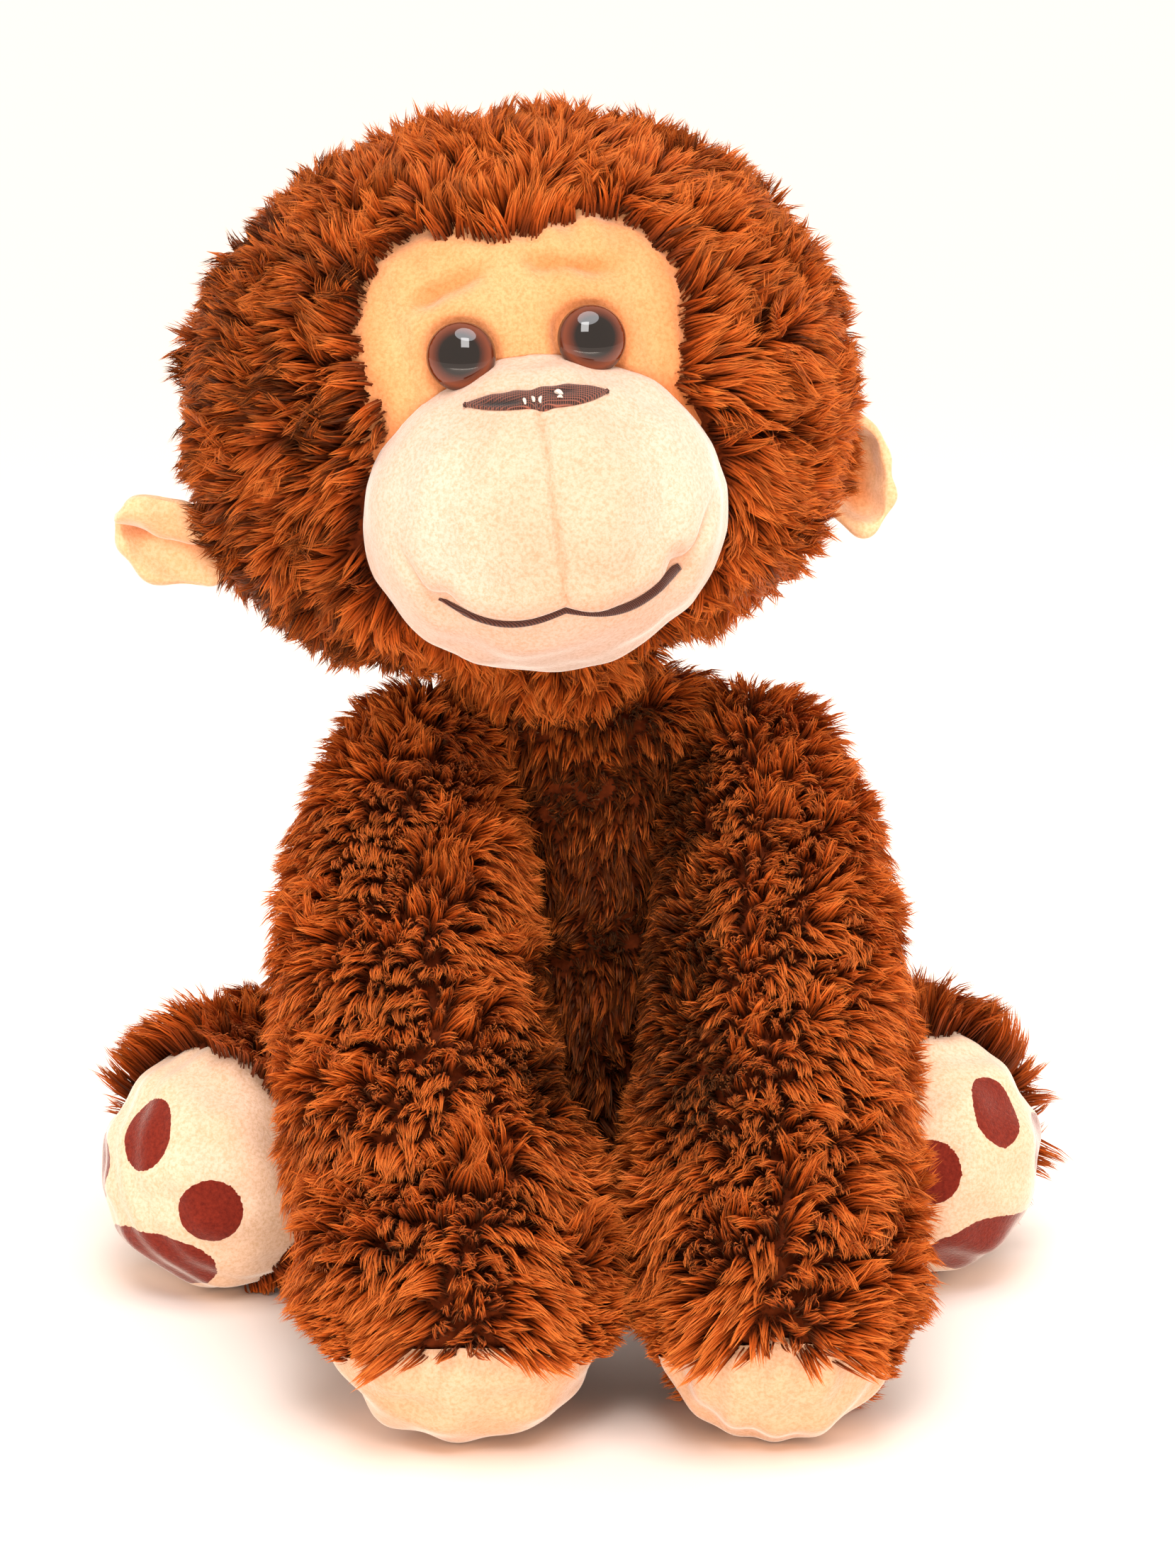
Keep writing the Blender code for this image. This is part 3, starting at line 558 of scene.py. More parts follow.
def build_arm(side):
    seed = 30 if side == "left" else 40
    root = np.array(joints[f"arm_swing_{side}"]["pos_m"])
    low, high = (np.array(v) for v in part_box(f"palm_{side}"))
    paw = (low + high) / 2
    base = soft_base(f"arm_skin_{side}", [f"arm_stuffing_{side}"], 2.4 * MM)
    fur_nodes = [f"arm_outer_{side}", f"arm_inner_{side}"]

    def between(points):
        """1 on the side that faces the other arm, above the paw."""
        inside = smoothstep(4 * MM, 14 * MM, (paw[0] - points[:, 0]) * (1 if side == "left" else -1))
        return inside * smoothstep(48 * MM, 70 * MM, points[:, 2])

    def beside(points):
        """How much further than its CAD panel the palm reaches round the sides of the paw."""
        apart = np.abs(points[:, 0] - paw[0]) if side == "right" else paw[0] - points[:, 0]
        most = 11 * MM if side == "right" else 5 * MM
        return most * smoothstep(8 * MM, 18 * MM, apart) * smoothstep(24 * MM, 17 * MM, points[:, 2])

    def direction(points, normals):
        along = np.tile(unit(paw - root), (len(points), 1))
        spread = unit(points - (root + along * ((points - root) * along).sum(1, keepdims=True)))
        wanted = along + (0, 0, -0.45) + spread * 0.1
        near = smoothstep(22 * MM, 5 * MM, distances(points, [f"palm_{side}"]))[:, None]
        aside = (points - paw) * (1, 0, 0) / (20 * MM)
        ways = comb(points, normals, wanted, seed + 1, lift=0.9, strength=0.5, wild=0.3)
        ways += (normals * 0.25 + aside * 1.5) * near
        grown = smoothstep(70 * MM, 25 * MM, np.linalg.norm(points - paw, axis=1))
        low_down = np.maximum(near[:, 0], smoothstep(30 * MM, 18 * MM, points[:, 2]))
        sides = smoothstep(12 * MM, 22 * MM, np.abs(points[:, 0] - paw[0])) * low_down
        longer = 1 + 0.2 * grown - 0.78 * sides - 0.4 * between(points)
        return unit(ways), fur_lengths(points, seed + 2) * longer

    # Painted shade on the fur of the side that faces the other arm, where the arms shade each other; the rest
    # of the arm's fur is painted a little lighter.
    def dim(points):
        return 0.62 * between(points) - 0.12

    covered = [*fur_nodes, f"arm_stuffing_{side}"]
    points, skin = fur_body(
        f"arm_{side}", base, fur_nodes, [f"palm_{side}"], even_level, direction, seed, covered, dim, beside
    )
    near = distances(points, [f"palm_{side}"]) < NAP_REACH + beside(points)
    palm = refine(cut_out(f"palm_skin_{side}", skin, near), 2)
    puff(palm, paw, 2.2 * MM, 30 * MM)
    soft_touch(palm, seed, 0.5 * MM)
    finish_piece(palm, f"arm_{side}", PALM, [f"palm_{side}"])


def puff(obj, centre, depth, reach):
    """Fuller towards the centre, kept off the floor."""
    points, normals = get(obj.data, "co"), get(obj.data, "normal")
    share = np.exp(-((np.linalg.norm(points - centre, axis=1) / reach) ** 4))
    put_above_floor(obj.data, points + normals * (share * depth)[:, None])


def shade(obj, amounts):
    """Painted shade on a nap: a deeper, warmer colour in folds, hollows and creases and on parts turned from
    the light, and a darker line along seams.
    """
    layer = obj.data.attributes.new("shade", "FLOAT", "POINT")
    layer.data.foreach_set("value", np.clip(amounts, 0, 1).astype(np.float32))


def soft_touch(obj, seed, depth, size=11 * MM):
    """Small soft unevenness, as cloth over loose filling has, kept off the floor."""
    points, normals = get(obj.data, "co"), get(obj.data, "normal")
    put_above_floor(obj.data, points + normals * (swirl(points, size, seed + 77, 1) * depth))


FEET = {  # middle of the foot from the hip joint, and which way the sole faces in degrees from the front
    "left": (np.array((33, -40, -1)) * MM, 42),
    "right": (np.array((-36, -42, -1)) * MM, -40),
}
PADS = {  # degrees across and up from the sole's middle, half-width and half-height in mm, and tilt
    "left": ((0, 33, 6.9, 9.3, 10), (-43, 7, 7.8, 7.9, 0), (38, 7, 7.8, 7.9, 0), (0, -41, 18, 11, 0)),
    "right": ((0, 29, 6.9, 9.3, 10), (39, -5, 7.8, 7.9, 0), (-39, 4, 7.8, 7.9, 0), (-2, -41, 18.5, 11.5, 0)),
}


def pad_mask(points, side, centre, facing):
    """1 inside a printed pad, falling to 0 over about a millimetre."""
    turn = math.radians(facing)
    ahead = np.array((math.sin(turn), -math.cos(turn), 0))
    beside = np.array((math.cos(turn), math.sin(turn), 0))
    rays = points - centre
    radius = np.linalg.norm(rays, axis=1)
    best = np.zeros(len(points))
    for around, up, wide, high, tilt in PADS[side]:
        a, e = math.radians(around), math.radians(up)
        axis = ahead * math.cos(a) * math.cos(e) + beside * math.sin(a) * math.cos(e)
        axis = axis + np.array((0, 0, math.sin(e)))
        right = unit(beside * math.cos(a) - ahead * math.sin(a))
        top = np.cross(right, axis) * (1 if np.cross(right, axis)[2] > 0 else -1)
        lean = math.radians(tilt) * (1 if facing > 0 else -1)
        across_pad = right * math.cos(lean) - top * math.sin(lean)
        up_pad = top * math.cos(lean) + right * math.sin(lean)
        ratio = 1 / np.maximum(rays @ axis, 1 * MM) * radius
        x = (rays @ across_pad) * ratio / (wide * MM)
        y = (rays @ up_pad) * ratio / (high * MM)
        near = 1 - smoothstep(0.93, 1.07, np.sqrt(x * x + y * y))
        best = np.maximum(best, np.where(rays @ axis > 0.3 * radius, near, 0))
    return best


def build_leg(side):
    seed = 50 if side == "left" else 60
    hip = np.array(joints[f"leg_splay_{side}"]["pos_m"])
    offset, facing = FEET[side]
    foot = hip + offset
    base = soft_base(f"leg_skin_{side}", [f"leg_stuffing_{side}"], 2.2 * MM)
    fur_nodes = [f"leg_upper_{side}", f"leg_lower_{side}"]

    def direction(points, normals):
        along = np.tile(unit(offset), (len(points), 1))
        near = smoothstep(17 * MM, 5 * MM, distances(points, [f"sole_{side}"]))
        ways = comb(points, normals, along + (0, 0, -0.2), seed + 1, strength=0.5)
        lower = 18 * MM * smoothstep(0, 12 * MM, points[:, 0] - foot[0]) * (side == "left")
        high = smoothstep(foot[2] - 8 * MM, foot[2] + 14 * MM, points[:, 2] + lower)
        pull = along * (0.25 * high - 0.7 * (1 - high))[:, None]
        ways = unit(ways + (normals * 0.9 + pull) * near[:, None])
        return ways, fur_lengths(points, seed + 2) * (1 + (0.4 * high - 0.5 * (1 - high)) * near)

    covered = [*fur_nodes, f"leg_stuffing_{side}"]
    points, skin = fur_body(
        f"leg_{side}", base, fur_nodes, [f"sole_{side}"], even_level, direction, seed, covered
    )
    near = distances(points, [f"sole_{side}"]) < NAP_REACH
    sole = refine(cut_out(f"sole_skin_{side}", skin, near), 2)
    soft_touch(sole, seed, 0.45 * MM)
    pad = sole.data.attributes.new("pad", "FLOAT", "POINT")
    inked = pad_mask(get(sole.data, "co"), side, foot, facing)
    pad.data.foreach_set("value", inked.astype(np.float32))
    finish_piece(sole, f"leg_{side}", SOLE, [f"sole_{side}"])


# Head ---------------------------------------------------------------------------------------------


def to_head(points):
    """Points in the head's upright frame, from its centre."""
    return (points - HEAD_CENTRE) @ HEAD


def from_head(points):
    return points @ HEAD.T + HEAD_CENTRE


def build_head():
    shell = ["head_gusset", "head_side_left", "head_side_right"]
    washers = ["eye_washer_left", "eye_washer_right"]
    plugs = [((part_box(name)[0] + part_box(name)[1]) / 2, 6 * MM) for name in washers]
    fills = ["brow_patch", "head_stuffing", *washers, "neck_stuffing"]
    base = soft_base("head_skin", [*shell, *fills], 2.6 * MM, plugs=plugs)
    face = from_head(np.array([[0, -60 * MM, 5 * MM]]))[0]

    def direction(points, normals):
        local = to_head(points)
        away = unit(points - face)
        back = smoothstep(-20 * MM, 30 * MM, local[:, 1])[:, None]
        wanted = away * (1 - back) + (unit(local * (1, 1, 0)) @ HEAD.T * 0.4 + (0, 0, -1)) * back
        wanted += np.array((0.25, 0, 0)) * smoothstep(20 * MM, 50 * MM, local[:, 2])[:, None]
        ways = comb(points, normals, wanted, 11, lift=0.66, strength=0.55)
        return ways, fur_lengths(points, 12, HEAD_FUR_LENGTH)

    def level(bare):
        return -PILE * (1 - bare)

    def dim(points):
        """The side that leans away from the light is darker."""
        return 0.04 + 0.26 * smoothstep(-20 * MM, -48 * MM, to_head(points)[:, 0])

    bare_nodes = ["brow_patch", "muzzle_stuffing", "muzzle_chin", "muzzle_cheek_left", "muzzle_cheek_right"]
    covered = [*shell, "head_stuffing", *washers]
    points, skin = fur_body("head", base, shell, bare_nodes, level, direction, 10, covered, dim)
    gap = distances(points, ["brow_patch"])
    under = (gap < BROW_UNDER) & (distances(points, bare_nodes[1:]) < BROW_UNDER / 2)
    near = (gap < BROW_REACH) | under
    brow = refine(cut_out("brow_skin", skin, near), 2)
    crease_brow(brow)
    soft_touch(brow, 15, 0.35 * MM, 12 * MM)
    finish_piece(brow, "head", BROW, ["brow_patch"])


def crease_brow(brow):
    """Two soft folds above the eyes, each with a ridge below it, and a hollow round each eye."""
    points, normals = get(brow.data, "co"), get(brow.data, "normal")
    local = to_head(points) / MM
    x, z = local[:, 0], local[:, 2]
    push = np.zeros(len(x))
    for middle, line, long in ((-15, 26.5 + 0.32 * (x + 15), 9), (13, 27.5 - 0.2 * (x - 13), 10)):
        share = np.exp(-(((x - middle) / long) ** 4))
        ridge = 1.3 * np.exp(-(((z - line + 5.5) / 4) ** 2))
        push += share * (ridge - 1.9 * np.exp(-(((z - line) / 2.3) ** 2)))
    # Painted shade, deeper and warmer: in the folds, round the eyes, low down near the muzzle, at the brow's
    # sides and towards its +x side.
    deep = np.clip(-push / 2.2, 0, 1)
    for sign in (1, -1):
        around = np.hypot(x - sign * 14.4, z - 10)
        push -= 1.3 * np.exp(-(((around - 6) / 3) ** 4))
        deep += 0.55 * np.exp(-(((around - 7.5) / 2.6) ** 2))
    deep += 0.5 * smoothstep(4, -8, z)
    deep += 0.35 * smoothstep(28, 35, np.abs(x)) + 0.22 * smoothstep(12, 26, x)
    put(brow.data, points + normals * (push * MM)[:, None])
    shade(brow, deep)


def build_muzzle():
    """The muzzle: a seam down its middle, a lip over the mouth, and a dimple at each end of the smile."""
    names = ["muzzle_cheek_left", "muzzle_cheek_right", "muzzle_chin", "muzzle_stuffing"]
    muzzle = soft_base("muzzle_skin", names, 1.5 * MM, relax=22, hull=True)
    refine(muzzle, 1, 2)
    points, normals = get(muzzle.data, "co"), get(muzzle.data, "normal")
    local = to_head(points) / MM
    x, z = local[:, 0], local[:, 2]
    front = smoothstep(-45, -60, local[:, 1])
    mouth = mouth_height(x)
    seam = np.exp(-((x / 0.55) ** 2)) * smoothstep(-47, -45, z) * smoothstep(2, -4, z) * front
    puff_up = np.exp(-(((np.abs(x) - 8) / 6) ** 2)) * smoothstep(-50, -35, z) * front
    below = smoothstep(1.2, -1.2, z - mouth) * front * smoothstep(31, 24, np.abs(x))
    lip = np.exp(-(((z - mouth - 4) / 3.5) ** 2)) * front * smoothstep(29, 22, np.abs(x))
    push = -0.9 * seam + 0.5 * puff_up - 2.4 * below + 1.0 * lip
    # Painted shade, deeper and warmer: over the middle of the muzzle's front, so that its edges look lighter,
    # and in the dimples and creases at the ends of the smile; the seam gets a darker line.
    deep = 0.32 * seam + 0.38 * np.exp(-(((x - 2) / 21) ** 4) - ((z + 25) / 30) ** 4)
    for cx, cz, lean, strong in ((27.5, -42, 0.5, 1.0), (-27, -43.5, -0.35, 0.75)):
        corner = np.exp(-(((x - cx) / 3.6) ** 2) - ((z - cz) / 4.2) ** 2) * front
        line = x - cx - lean * (z - cz) - 2 * np.sign(cx)
        crease = np.exp(-((line / 1.1) ** 2)) * np.exp(-(((z - cz - 6) / 7) ** 2))
        ridge = np.exp(-(((line - 2.8 * np.sign(cx)) / 1.6) ** 2)) * np.exp(-(((z - cz - 6) / 8) ** 2))
        push += strong * (0.9 * ridge - 1.3 * crease - 3.2 * corner)
        deep += strong * (0.35 * crease + 0.45 * corner)
    points = points + normals * (push * MM)[:, None]
    put(muzzle.data, points)
    shade(muzzle, deep)
    soft_touch(muzzle, 16, 0.35 * MM, 16 * MM)
    finish_piece(muzzle, "head", MUZZLE, names)
    return muzzle


def mouth_height(x):
    """Height of the mouth line, in millimetres, at x millimetres from the middle."""
    share = np.abs(x) / MOUTH_REACH
    return -47 - 2.6 * np.sin(np.pi * np.minimum(1, share * 1.05)) + 5.4 * share**2.5


def on_surface(objects, x, z):
    """Where the objects' front is hit, and its normal there, at x and z millimetres in the head's frame."""
    found = search_tree([obj.data for obj in objects])
    ahead = Vector(HEAD @ np.array((0, 1.0, 0)))
    hits = []
    for a, b in zip(np.ravel(x), np.ravel(z)):
        start = Vector(from_head(np.array((a * MM, -0.15, b * MM))))
        point, normal, _, _ = found.ray_cast(start, ahead)
        hits.append((point, normal))
    return np.array([h[0] for h in hits]), np.array([h[1] for h in hits])


def tube(name, points, radii, segments=10):
    """A round cord of varying thickness along the points, closed at its ends."""
    points = np.array(points)
    ways = unit(np.gradient(points, axis=0))
    guide = np.cross(ways, (0, 0, 1.0))
    guide = unit(np.where(np.linalg.norm(guide, axis=1, keepdims=True) < 0.1, (1.0, 0, 0), guide))
    other = np.cross(ways, guide)
    angles = np.linspace(0, 2 * math.pi, segments, endpoint=False)
    rings = points[:, None] + np.array(radii)[:, None, None] * (
        guide[:, None] * np.cos(angles)[None, :, None] + other[:, None] * np.sin(angles)[None, :, None]
    )
    shape = bmesh.new()
    rows = [[shape.verts.new(v) for v in ring] for ring in rings]
    for low, high in zip(rows, rows[1:]):
        for k in range(segments):
            shape.faces.new((low[k], low[(k + 1) % segments], high[(k + 1) % segments], high[k]))
    shape.faces.new(rows[0][::-1])
    shape.faces.new(rows[-1])
    mesh = built(name, shape)
    mesh.shade_smooth()
    return new_object(name, mesh)


def thread_material(name, light, deep, turns):
    made = Shader(name, Roughness=0.6, Specular_IOR_Level=0.3, Sheen_Weight=0.3)
    place = made.place()
    settings = {"Vector": place, "Scale": turns, "Distortion": 1.5}
    twist = made.add("ShaderNodeTexWave", settings, bands_direction="DIAGONAL")
    made.colour(made.ramp(twist.outputs["Fac"], (0.2, deep), (0.8, light)))
    made.bump(twist.outputs["Fac"], 0.6, 0.3 * MM)
    return made.material


def build_mouth(muzzle):
    x = np.linspace(-MOUTH_REACH, MOUTH_REACH, 90)
    points, normals = on_surface([muzzle], x, mouth_height(x) - 0.3)
    share = x / MOUTH_REACH
    radii = 0.84 + 0.3 * smoothstep(0.1, 0.6, share) - 0.25 * smoothstep(-0.75, -0.95, share)
    radii = (radii - 0.25 * smoothstep(0.93, 1.0, np.abs(share))) * MM
    mouth = tube("mouth_thread", points + normals * (0.25 * radii)[:, None], radii)
    thread = thread_material("mouth_thread", rgb(96, 50, 36), rgb(48, 20, 14), 900)
    finish_piece(mouth, "head", thread, ["mouth_line"])


def nose_material():
    """Plain woven cloth in dark brown."""
    made = Shader("nose_weave", Roughness=0.6, Specular_IOR_Level=0.4, Sheen_Weight=0.2)
    place = made.place()
    settings = {"Vector": place, "Scale": 620, "Distortion": 0.4, "Detail": 1}
    first = made.add("ShaderNodeTexWave", settings, bands_direction="X").outputs["Fac"]
    second = made.add("ShaderNodeTexWave", settings, bands_direction="Y").outputs["Fac"]
    woven = made.add("ShaderNodeMath", {0: first, 1: second}, operation="MAXIMUM").outputs[0]
    cloth = made.ramp(woven, (0.45, rgb(30, 10, 6)), (0.85, rgb(78, 36, 25)), (1.0, rgb(146, 82, 62)))
    # Painted shade: the cloth is painted nearly black where the nose is folded in.
    fold = made.add("ShaderNodeAttribute", attribute_name="fold").outputs["Fac"]
    made.colour(made.mix(fold, cloth, (*rgb(20, 7, 5), 1)))
    made.bump(woven, 0.7, 0.3 * MM)
    return made.material


def build_nose(muzzle):
    """The woven patch, pinched in its middle and folded in both halves, with white stitches at the pinch."""
    columns, rows, half_width = 81, 15, 15.8
    x = np.linspace(-half_width, half_width, columns)
    share = np.abs(x) / half_width
    middle = -1.2 - 0.035 * x
    fuller = smoothstep(-4, 6, x)
    top = middle + (2.3 + 0.5 * fuller) * (1 - share**4) + 0.2 * np.sin(1.1 * x) * (1 - share)
    notch = 0.7 * np.exp(-(((x - 1) / 1.6) ** 2))
    bottom = middle - (1.8 + 0.4 * fuller) * (1 - share**3.4) - notch
    height = np.linspace(0, 1, rows)[None]
    grid_x = np.repeat(x[:, None], rows, 1)
    grid_z = bottom[:, None] + (top - bottom)[:, None] * height
    points, normals = on_surface([muzzle], grid_x, grid_z)
    left = np.exp(-(((grid_x + 7.5) / 4.6) ** 4) - ((height - 0.36) / 0.17) ** 2)
    right = 0.7 * np.exp(-(((grid_x - 5.5) / 3.2) ** 4) - ((height - 0.62) / 0.15) ** 2)
    # How far each half is folded in; the same amount paints shade there.
    fold = np.maximum(left, right)
    edge = np.abs(2 * height - 1).repeat(columns, 0)
    lift = (0.95 - 0.8 * edge**4) * (1 - 0.6 * np.exp(-((grid_x / 1.4) ** 2))) - 0.75 * fold
    points = (points + normals * (lift.ravel() * MM)[:, None]).reshape(columns, rows, 3)
    shape = bmesh.new()
    grid = [[shape.verts.new(p) for p in row] for row in points]
    for a, b in zip(grid, grid[1:]):
        for k in range(rows - 1):
            shape.faces.new((a[k], b[k], b[k + 1], a[k + 1]))
    mesh = built("nose_weave", shape)
    mesh.attributes.new("fold", "FLOAT", "POINT").data.foreach_set("value", fold.ravel().astype(np.float32))
    nose = new_object("nose_weave", mesh)
    refine(nose, 1, 1)
    thicken(nose, 0.8 * MM)
    finish_piece(nose, "head", nose_material(), ["nose_patch"])
    white = thread_material("white_thread", rgb(252, 246, 236), rgb(214, 200, 184), 1400)
    # Each stitch: where it starts and ends in x and z, and its thickness, in millimetres
    marks = ((-2.9, 0.7, -2.8, -0.6, 0.4), (-1.2, 0.8, -1.0, -0.5, 0.42), (1.0, 0.6, 0.6, -0.8, 0.42))
    marks += ((4.0, 1.2, 5.6, 0.4, 0.62), (4.4, 0.0, 5.5, -0.2, 0.34))
    for k, (x0, z0, x1, z1, thick) in enumerate(marks):
        t = np.linspace(0, 1, 9)
        at, out = on_surface([nose, muzzle], x0 + (x1 - x0) * t, z0 + (z1 - z0) * t - 1.2)
        arch = at + out * ((0.1 + 0.4 * np.sin(np.pi * t)) * MM)[:, None]
        stitch = tube(f"nose_stitch_{k + 1}", arch, thick * (0.45 + 0.55 * np.sin(np.pi * t)) * MM, 8)
        finish_piece(stitch, "head", white)


def eye_material(centre, facing):
    """Dark pupil in a brown rim, under a clear glossy skin."""
    made = Shader("eye_" + ("left" if centre[0] > HEAD_CENTRE[0] else "right"), Roughness=0.03, IOR=1.5)
    made.bsdf.inputs["Coat Weight"].default_value = 0.4
    made.bsdf.inputs["Coat Roughness"].default_value = 0.02
    from_middle = made.add("ShaderNodeVectorMath", {0: made.place(), 1: tuple(centre)}, operation="SUBTRACT")
    sides = {0: from_middle.outputs[0], 1: tuple(facing)}
    crossed = made.add("ShaderNodeVectorMath", sides, operation="CROSS_PRODUCT")
    radius = made.add("ShaderNodeVectorMath", {0: crossed.outputs[0]}, operation="LENGTH").outputs["Value"]
    share = made.add("ShaderNodeMath", {0: radius, 1: EYE_RADIUS * MM}, operation="DIVIDE").outputs[0]
    made.colour(
        made.ramp(
            share,
            (0.0, rgb(8, 4, 4)),
            (0.56, rgb(12, 5, 4)),
            (0.68, rgb(70, 27, 12)),
            (0.86, rgb(112, 50, 24)),
            (1.0, rgb(52, 20, 9)),
        )
    )
    return made.material


def build_eyes():
    """A glossy dome in place of each CAD eye, on the same axis."""
    for side, sign in (("left", 1), ("right", -1)):
        points = get(nodes[f"eye_{side}"].data, "co")
        turn = Matrix.Rotation(sign * math.radians(8), 3, "Z") @ Matrix.Rotation(math.radians(-8), 3, "X")
        facing = unit(HEAD @ np.array(turn) @ np.array((0, -1.0, 0)))
        top = points[(points @ facing).argmax()]
        seat = top - facing * EYE_SEAT * MM
        beside = unit(np.cross(facing, (0, 0, 1.0)))
        upward = np.cross(beside, facing)
        bulge = EYE_HEIGHT - EYE_RIM
        steps = np.linspace(0, math.pi / 2, 25)[:-1]
        profile = [(7.2, -0.1), (7.7, 0.2)]
        profile += [(EYE_RADIUS * math.cos(t), EYE_RIM + bulge * math.sin(t)) for t in steps]
        shape = bmesh.new()
        rows = []
        for radius, height in profile:
            ring = []
            for t in np.linspace(0, 2 * math.pi, RIM_POINTS, endpoint=False):
                offset = (beside * math.cos(t) + upward * math.sin(t)) * radius + facing * height
                ring.append(shape.verts.new(seat + offset * MM))
            rows.append(ring)
        for a, b in zip(rows, rows[1:]):
            for k in range(RIM_POINTS):
                after = (k + 1) % RIM_POINTS
                shape.faces.new((a[k], a[after], b[after], b[k]))
        pole = shape.verts.new(seat + facing * EYE_HEIGHT * MM)
        for k in range(RIM_POINTS):
            shape.faces.new((rows[-1][k], rows[-1][(k + 1) % RIM_POINTS], pole))
        shape.faces.new(rows[0][::-1])
        mesh = built(f"eye_dome_{side}", shape)
        mesh.shade_smooth()
        obj = new_object(f"eye_dome_{side}", mesh)
        finish_piece(obj, "head", eye_material(top, facing), [f"eye_{side}"])


def ear_shape(side, out, up):
    """Where a point of the ear's disc sits, in millimetres from the CAD ear's middle: out, back and up.

    Out and up run from -1 to 1. The left ear is a cup. The right one is folded: its upper third hangs forward
    over a deep crease. Also gives how much painted shade the point gets, in the left ear's hollow and along
    the right ear's crease.
    """
    radius = np.hypot(out, up)
    if side == "left":
        cup = 9.0 * (1 - radius**2.4) - 2.5 * smoothstep(0.8, 1, radius)
        return 10.5 * out - 5.5, cup - 4, 16.0 * up - 2.5 * out - 0.5, smoothstep(0.85, 0.45, radius)
    crease = np.exp(-(((up - 0.12) / 0.2) ** 2)) * smoothstep(1.02, 0.55, np.abs(out))
    hood = smoothstep(0.2, 0.55, up)
    back = 4.0 * (1 - radius**2) + 8.0 * crease - 5.5 * hood + 2.5 * smoothstep(0, -1, up)
    tuck = 3.5 * smoothstep(-0.2, 1, out) * smoothstep(0.1, -1, up)
    high = 11.5 * up - 3.2 * hood * (1 - up) + 5.5 * out - tuck
    return 14.0 * out + 3.5, back - 3, high + 4.5, crease


def build_ears():
    rings, segments = 24, 72
    for side, sign in (("left", 1), ("right", -1)):
        low, high = (np.array(v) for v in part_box(f"ear_front_{side}"))
        middle = to_head((low + high) / 2) / MM
        shape = bmesh.new()
        rows, depths = [], []
        for ring in range(rings + 1):
            turn = 2 * math.pi * np.arange(segments) / segments
            across_ear, up_ear = np.cos(turn) * ring / rings, np.sin(turn) * ring / rings
            out, back, up, deep = ear_shape(side, across_ear, up_ear)
            rows.append(from_head((middle + np.stack([sign * out, back, up], 1)) * MM))
            depths.append(deep)
        grid = [[shape.verts.new(p) for p in row] for row in rows[1:]]
        pole = shape.verts.new(rows[0][0])
        for k in range(segments):
            shape.faces.new((pole, grid[0][k], grid[0][(k + 1) % segments]))
        for a, b in zip(grid, grid[1:]):
            for k in range(segments):
                shape.faces.new((a[k], b[k], b[(k + 1) % segments], a[(k + 1) % segments]))
        obj = new_object(f"ear_{side}", built(f"ear_{side}", shape))
        # Painted shade: the left ear's hollow and the right ear's crease are painted deeper and warmer.
        shade(obj, np.concatenate([*depths[1:], depths[0][:1]]))
        obj.data.shade_smooth()
        thicken(obj, 2.8 * MM)
        refine(obj, 1, 2)
        soft_touch(obj, 18, 0.4 * MM, 8 * MM)
        finish_piece(obj, "head", EAR, [f"ear_front_{side}", f"ear_back_{side}"])


def build_neck():
    """Fur round the neck seam."""
    low, high = (np.array(v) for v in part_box("neck_stuffing"))
    neck = soft_base("neck_skin", ["neck_stuffing"], 2.4 * MM)
    finish_piece(neck, "neck", BACKING, ["neck_stuffing"])
    rng = np.random.default_rng(70)
    at, out, _ = surface_samples(neck.data, TUFT_SPACING, rng)
    keep = np.abs(at[:, 2] - (low[2] + high[2]) / 2) < 12 * MM
    at, out = at[keep], out[keep]
    ways = comb(at, out, np.tile((0.0, 0, -1.0), (len(at), 1)), 71)
    tones = np.clip(0.5 + 0.17 * rng.normal(size=len(at)), 0, 1)
    grow("neck_fur", "neck", at, out, ways, fur_lengths(at, 72), tones, 73)


def build_label():
    """The blank label stays the CAD solid, in woven satin."""
    node = nodes["care_label"]
    made = Shader("label_satin", Roughness=0.4, Sheen_Weight=0.3)
    settings = {"Vector": made.place(), "Scale": 900}
    weave = made.add("ShaderNodeTexWave", settings, bands_direction="Z").outputs["Fac"]
    made.colour(made.ramp(weave, (0.0, rgb(226, 224, 218)), (1.0, rgb(248, 247, 243))))
    made.bump(weave, 0.2, 0.1 * MM)
    node.data.materials.clear()
    node.data.materials.append(made.material)


# Stage, light and camera --------------------------------------------------------------------------


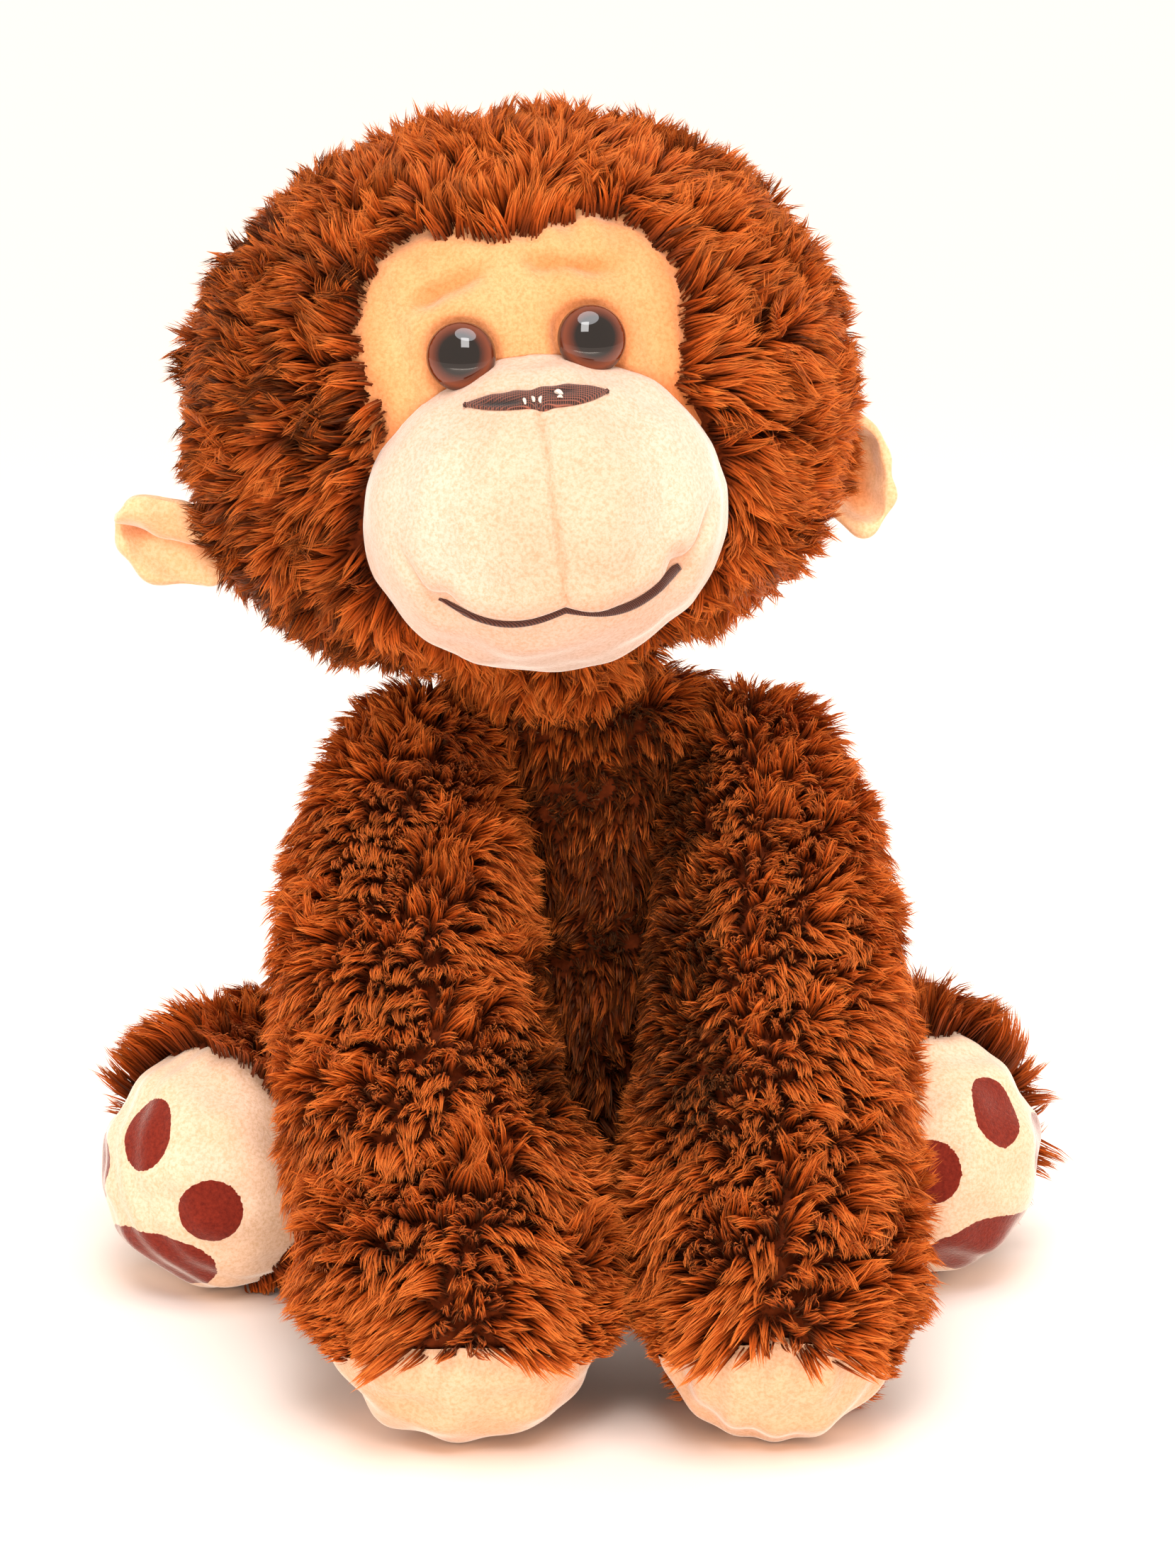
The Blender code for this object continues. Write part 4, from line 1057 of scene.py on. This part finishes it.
def build_stage():
    """A wide pale floor, an even warm sky with a soft sun, four lamps, and the photograph's camera."""
    mesh = bpy.data.meshes.new("floor")
    half = 30
    corners = [(-half, -half, 0), (half, -half, 0), (half, half, 0), (-half, half, 0)]
    mesh.from_pydata(corners, [], [(0, 1, 2, 3)])
    floor = new_object("floor", mesh)
    made = Shader("floor_paper", Roughness=0.9, Specular_IOR_Level=0.1)
    made.bsdf.inputs["Base Color"].default_value = (0.95, 0.87, 0.81, 1)
    mesh.materials.append(made.material)
    world = scene.world or bpy.data.worlds.new("studio")
    scene.world = world
    world.use_nodes = True
    world.node_tree.nodes["Background"].inputs["Color"].default_value = (1.0, 0.84, 0.72, 1)
    world.node_tree.nodes["Background"].inputs["Strength"].default_value = 0.88
    sun = bpy.data.lights.new("overhead", "SUN")
    sun.energy, sun.angle, sun.color = 1.9, math.radians(42), (0.96, 0.97, 1.0)
    overhead = bpy.data.objects.new("overhead", sun)
    scene.collection.objects.link(overhead)
    overhead.rotation_euler = (math.radians(22), math.radians(4), 0)
    lights = (  # name, place, what it points at, width, height, watts, colour
        ("key", (0, -0.85, 0.98), (0, 0, 0.2), 0.3, 0.42, 3.5, (1.0, 0.98, 0.96)),
        ("low", (0, -1.2, 0.06), (0, 0, 0.15), 1.2, 0.12, 9.5, (1.0, 0.94, 0.88)),
        ("rim_left", (-0.9, 0.5, 0.5), (0, 0, 0.17), 0.6, 0.6, 2.5, (1.0, 0.95, 0.9)),
        ("rim_right", (0.9, 0.5, 0.5), (0, 0, 0.17), 0.6, 0.6, 4, (1.0, 0.95, 0.9)),
    )
    for name, place, target, width, height, power, colour in lights:
        light = bpy.data.lights.new(name, "AREA")
        light.shape, light.size, light.size_y = "RECTANGLE", width, height
        light.energy, light.color = power, colour
        lamp = bpy.data.objects.new(name, light)
        scene.collection.objects.link(lamp)
        lamp.location = place
        lamp.visible_glossy = name == "key"  # the only lamp that shows in the eyes
        lamp.rotation_euler = (Vector(target) - Vector(place)).to_track_quat("-Z", "Y").to_euler()
    camera = bpy.data.cameras.new("camera")
    camera.lens, camera.sensor_width, camera.sensor_fit = 95.75, 36, "AUTO"
    tripod = bpy.data.objects.new("camera", camera)
    scene.collection.objects.link(tripod)
    tilt, away, height = math.radians(12), 1.0, 0.1167
    tripod.location = (0, -away * math.cos(tilt), height + away * math.sin(tilt))
    tripod.rotation_euler = (math.radians(90) - tilt, 0, 0)
    scene.camera = tripod
    scene.view_settings.view_transform = "Standard"
    scene.view_settings.look = "None"


build_torso()
for each in ("left", "right"):
    build_arm(each)
    build_leg(each)
build_head()
face = build_muzzle()
build_mouth(face)
build_nose(face)
build_eyes()
build_ears()
build_neck()
build_label()
build_stage()
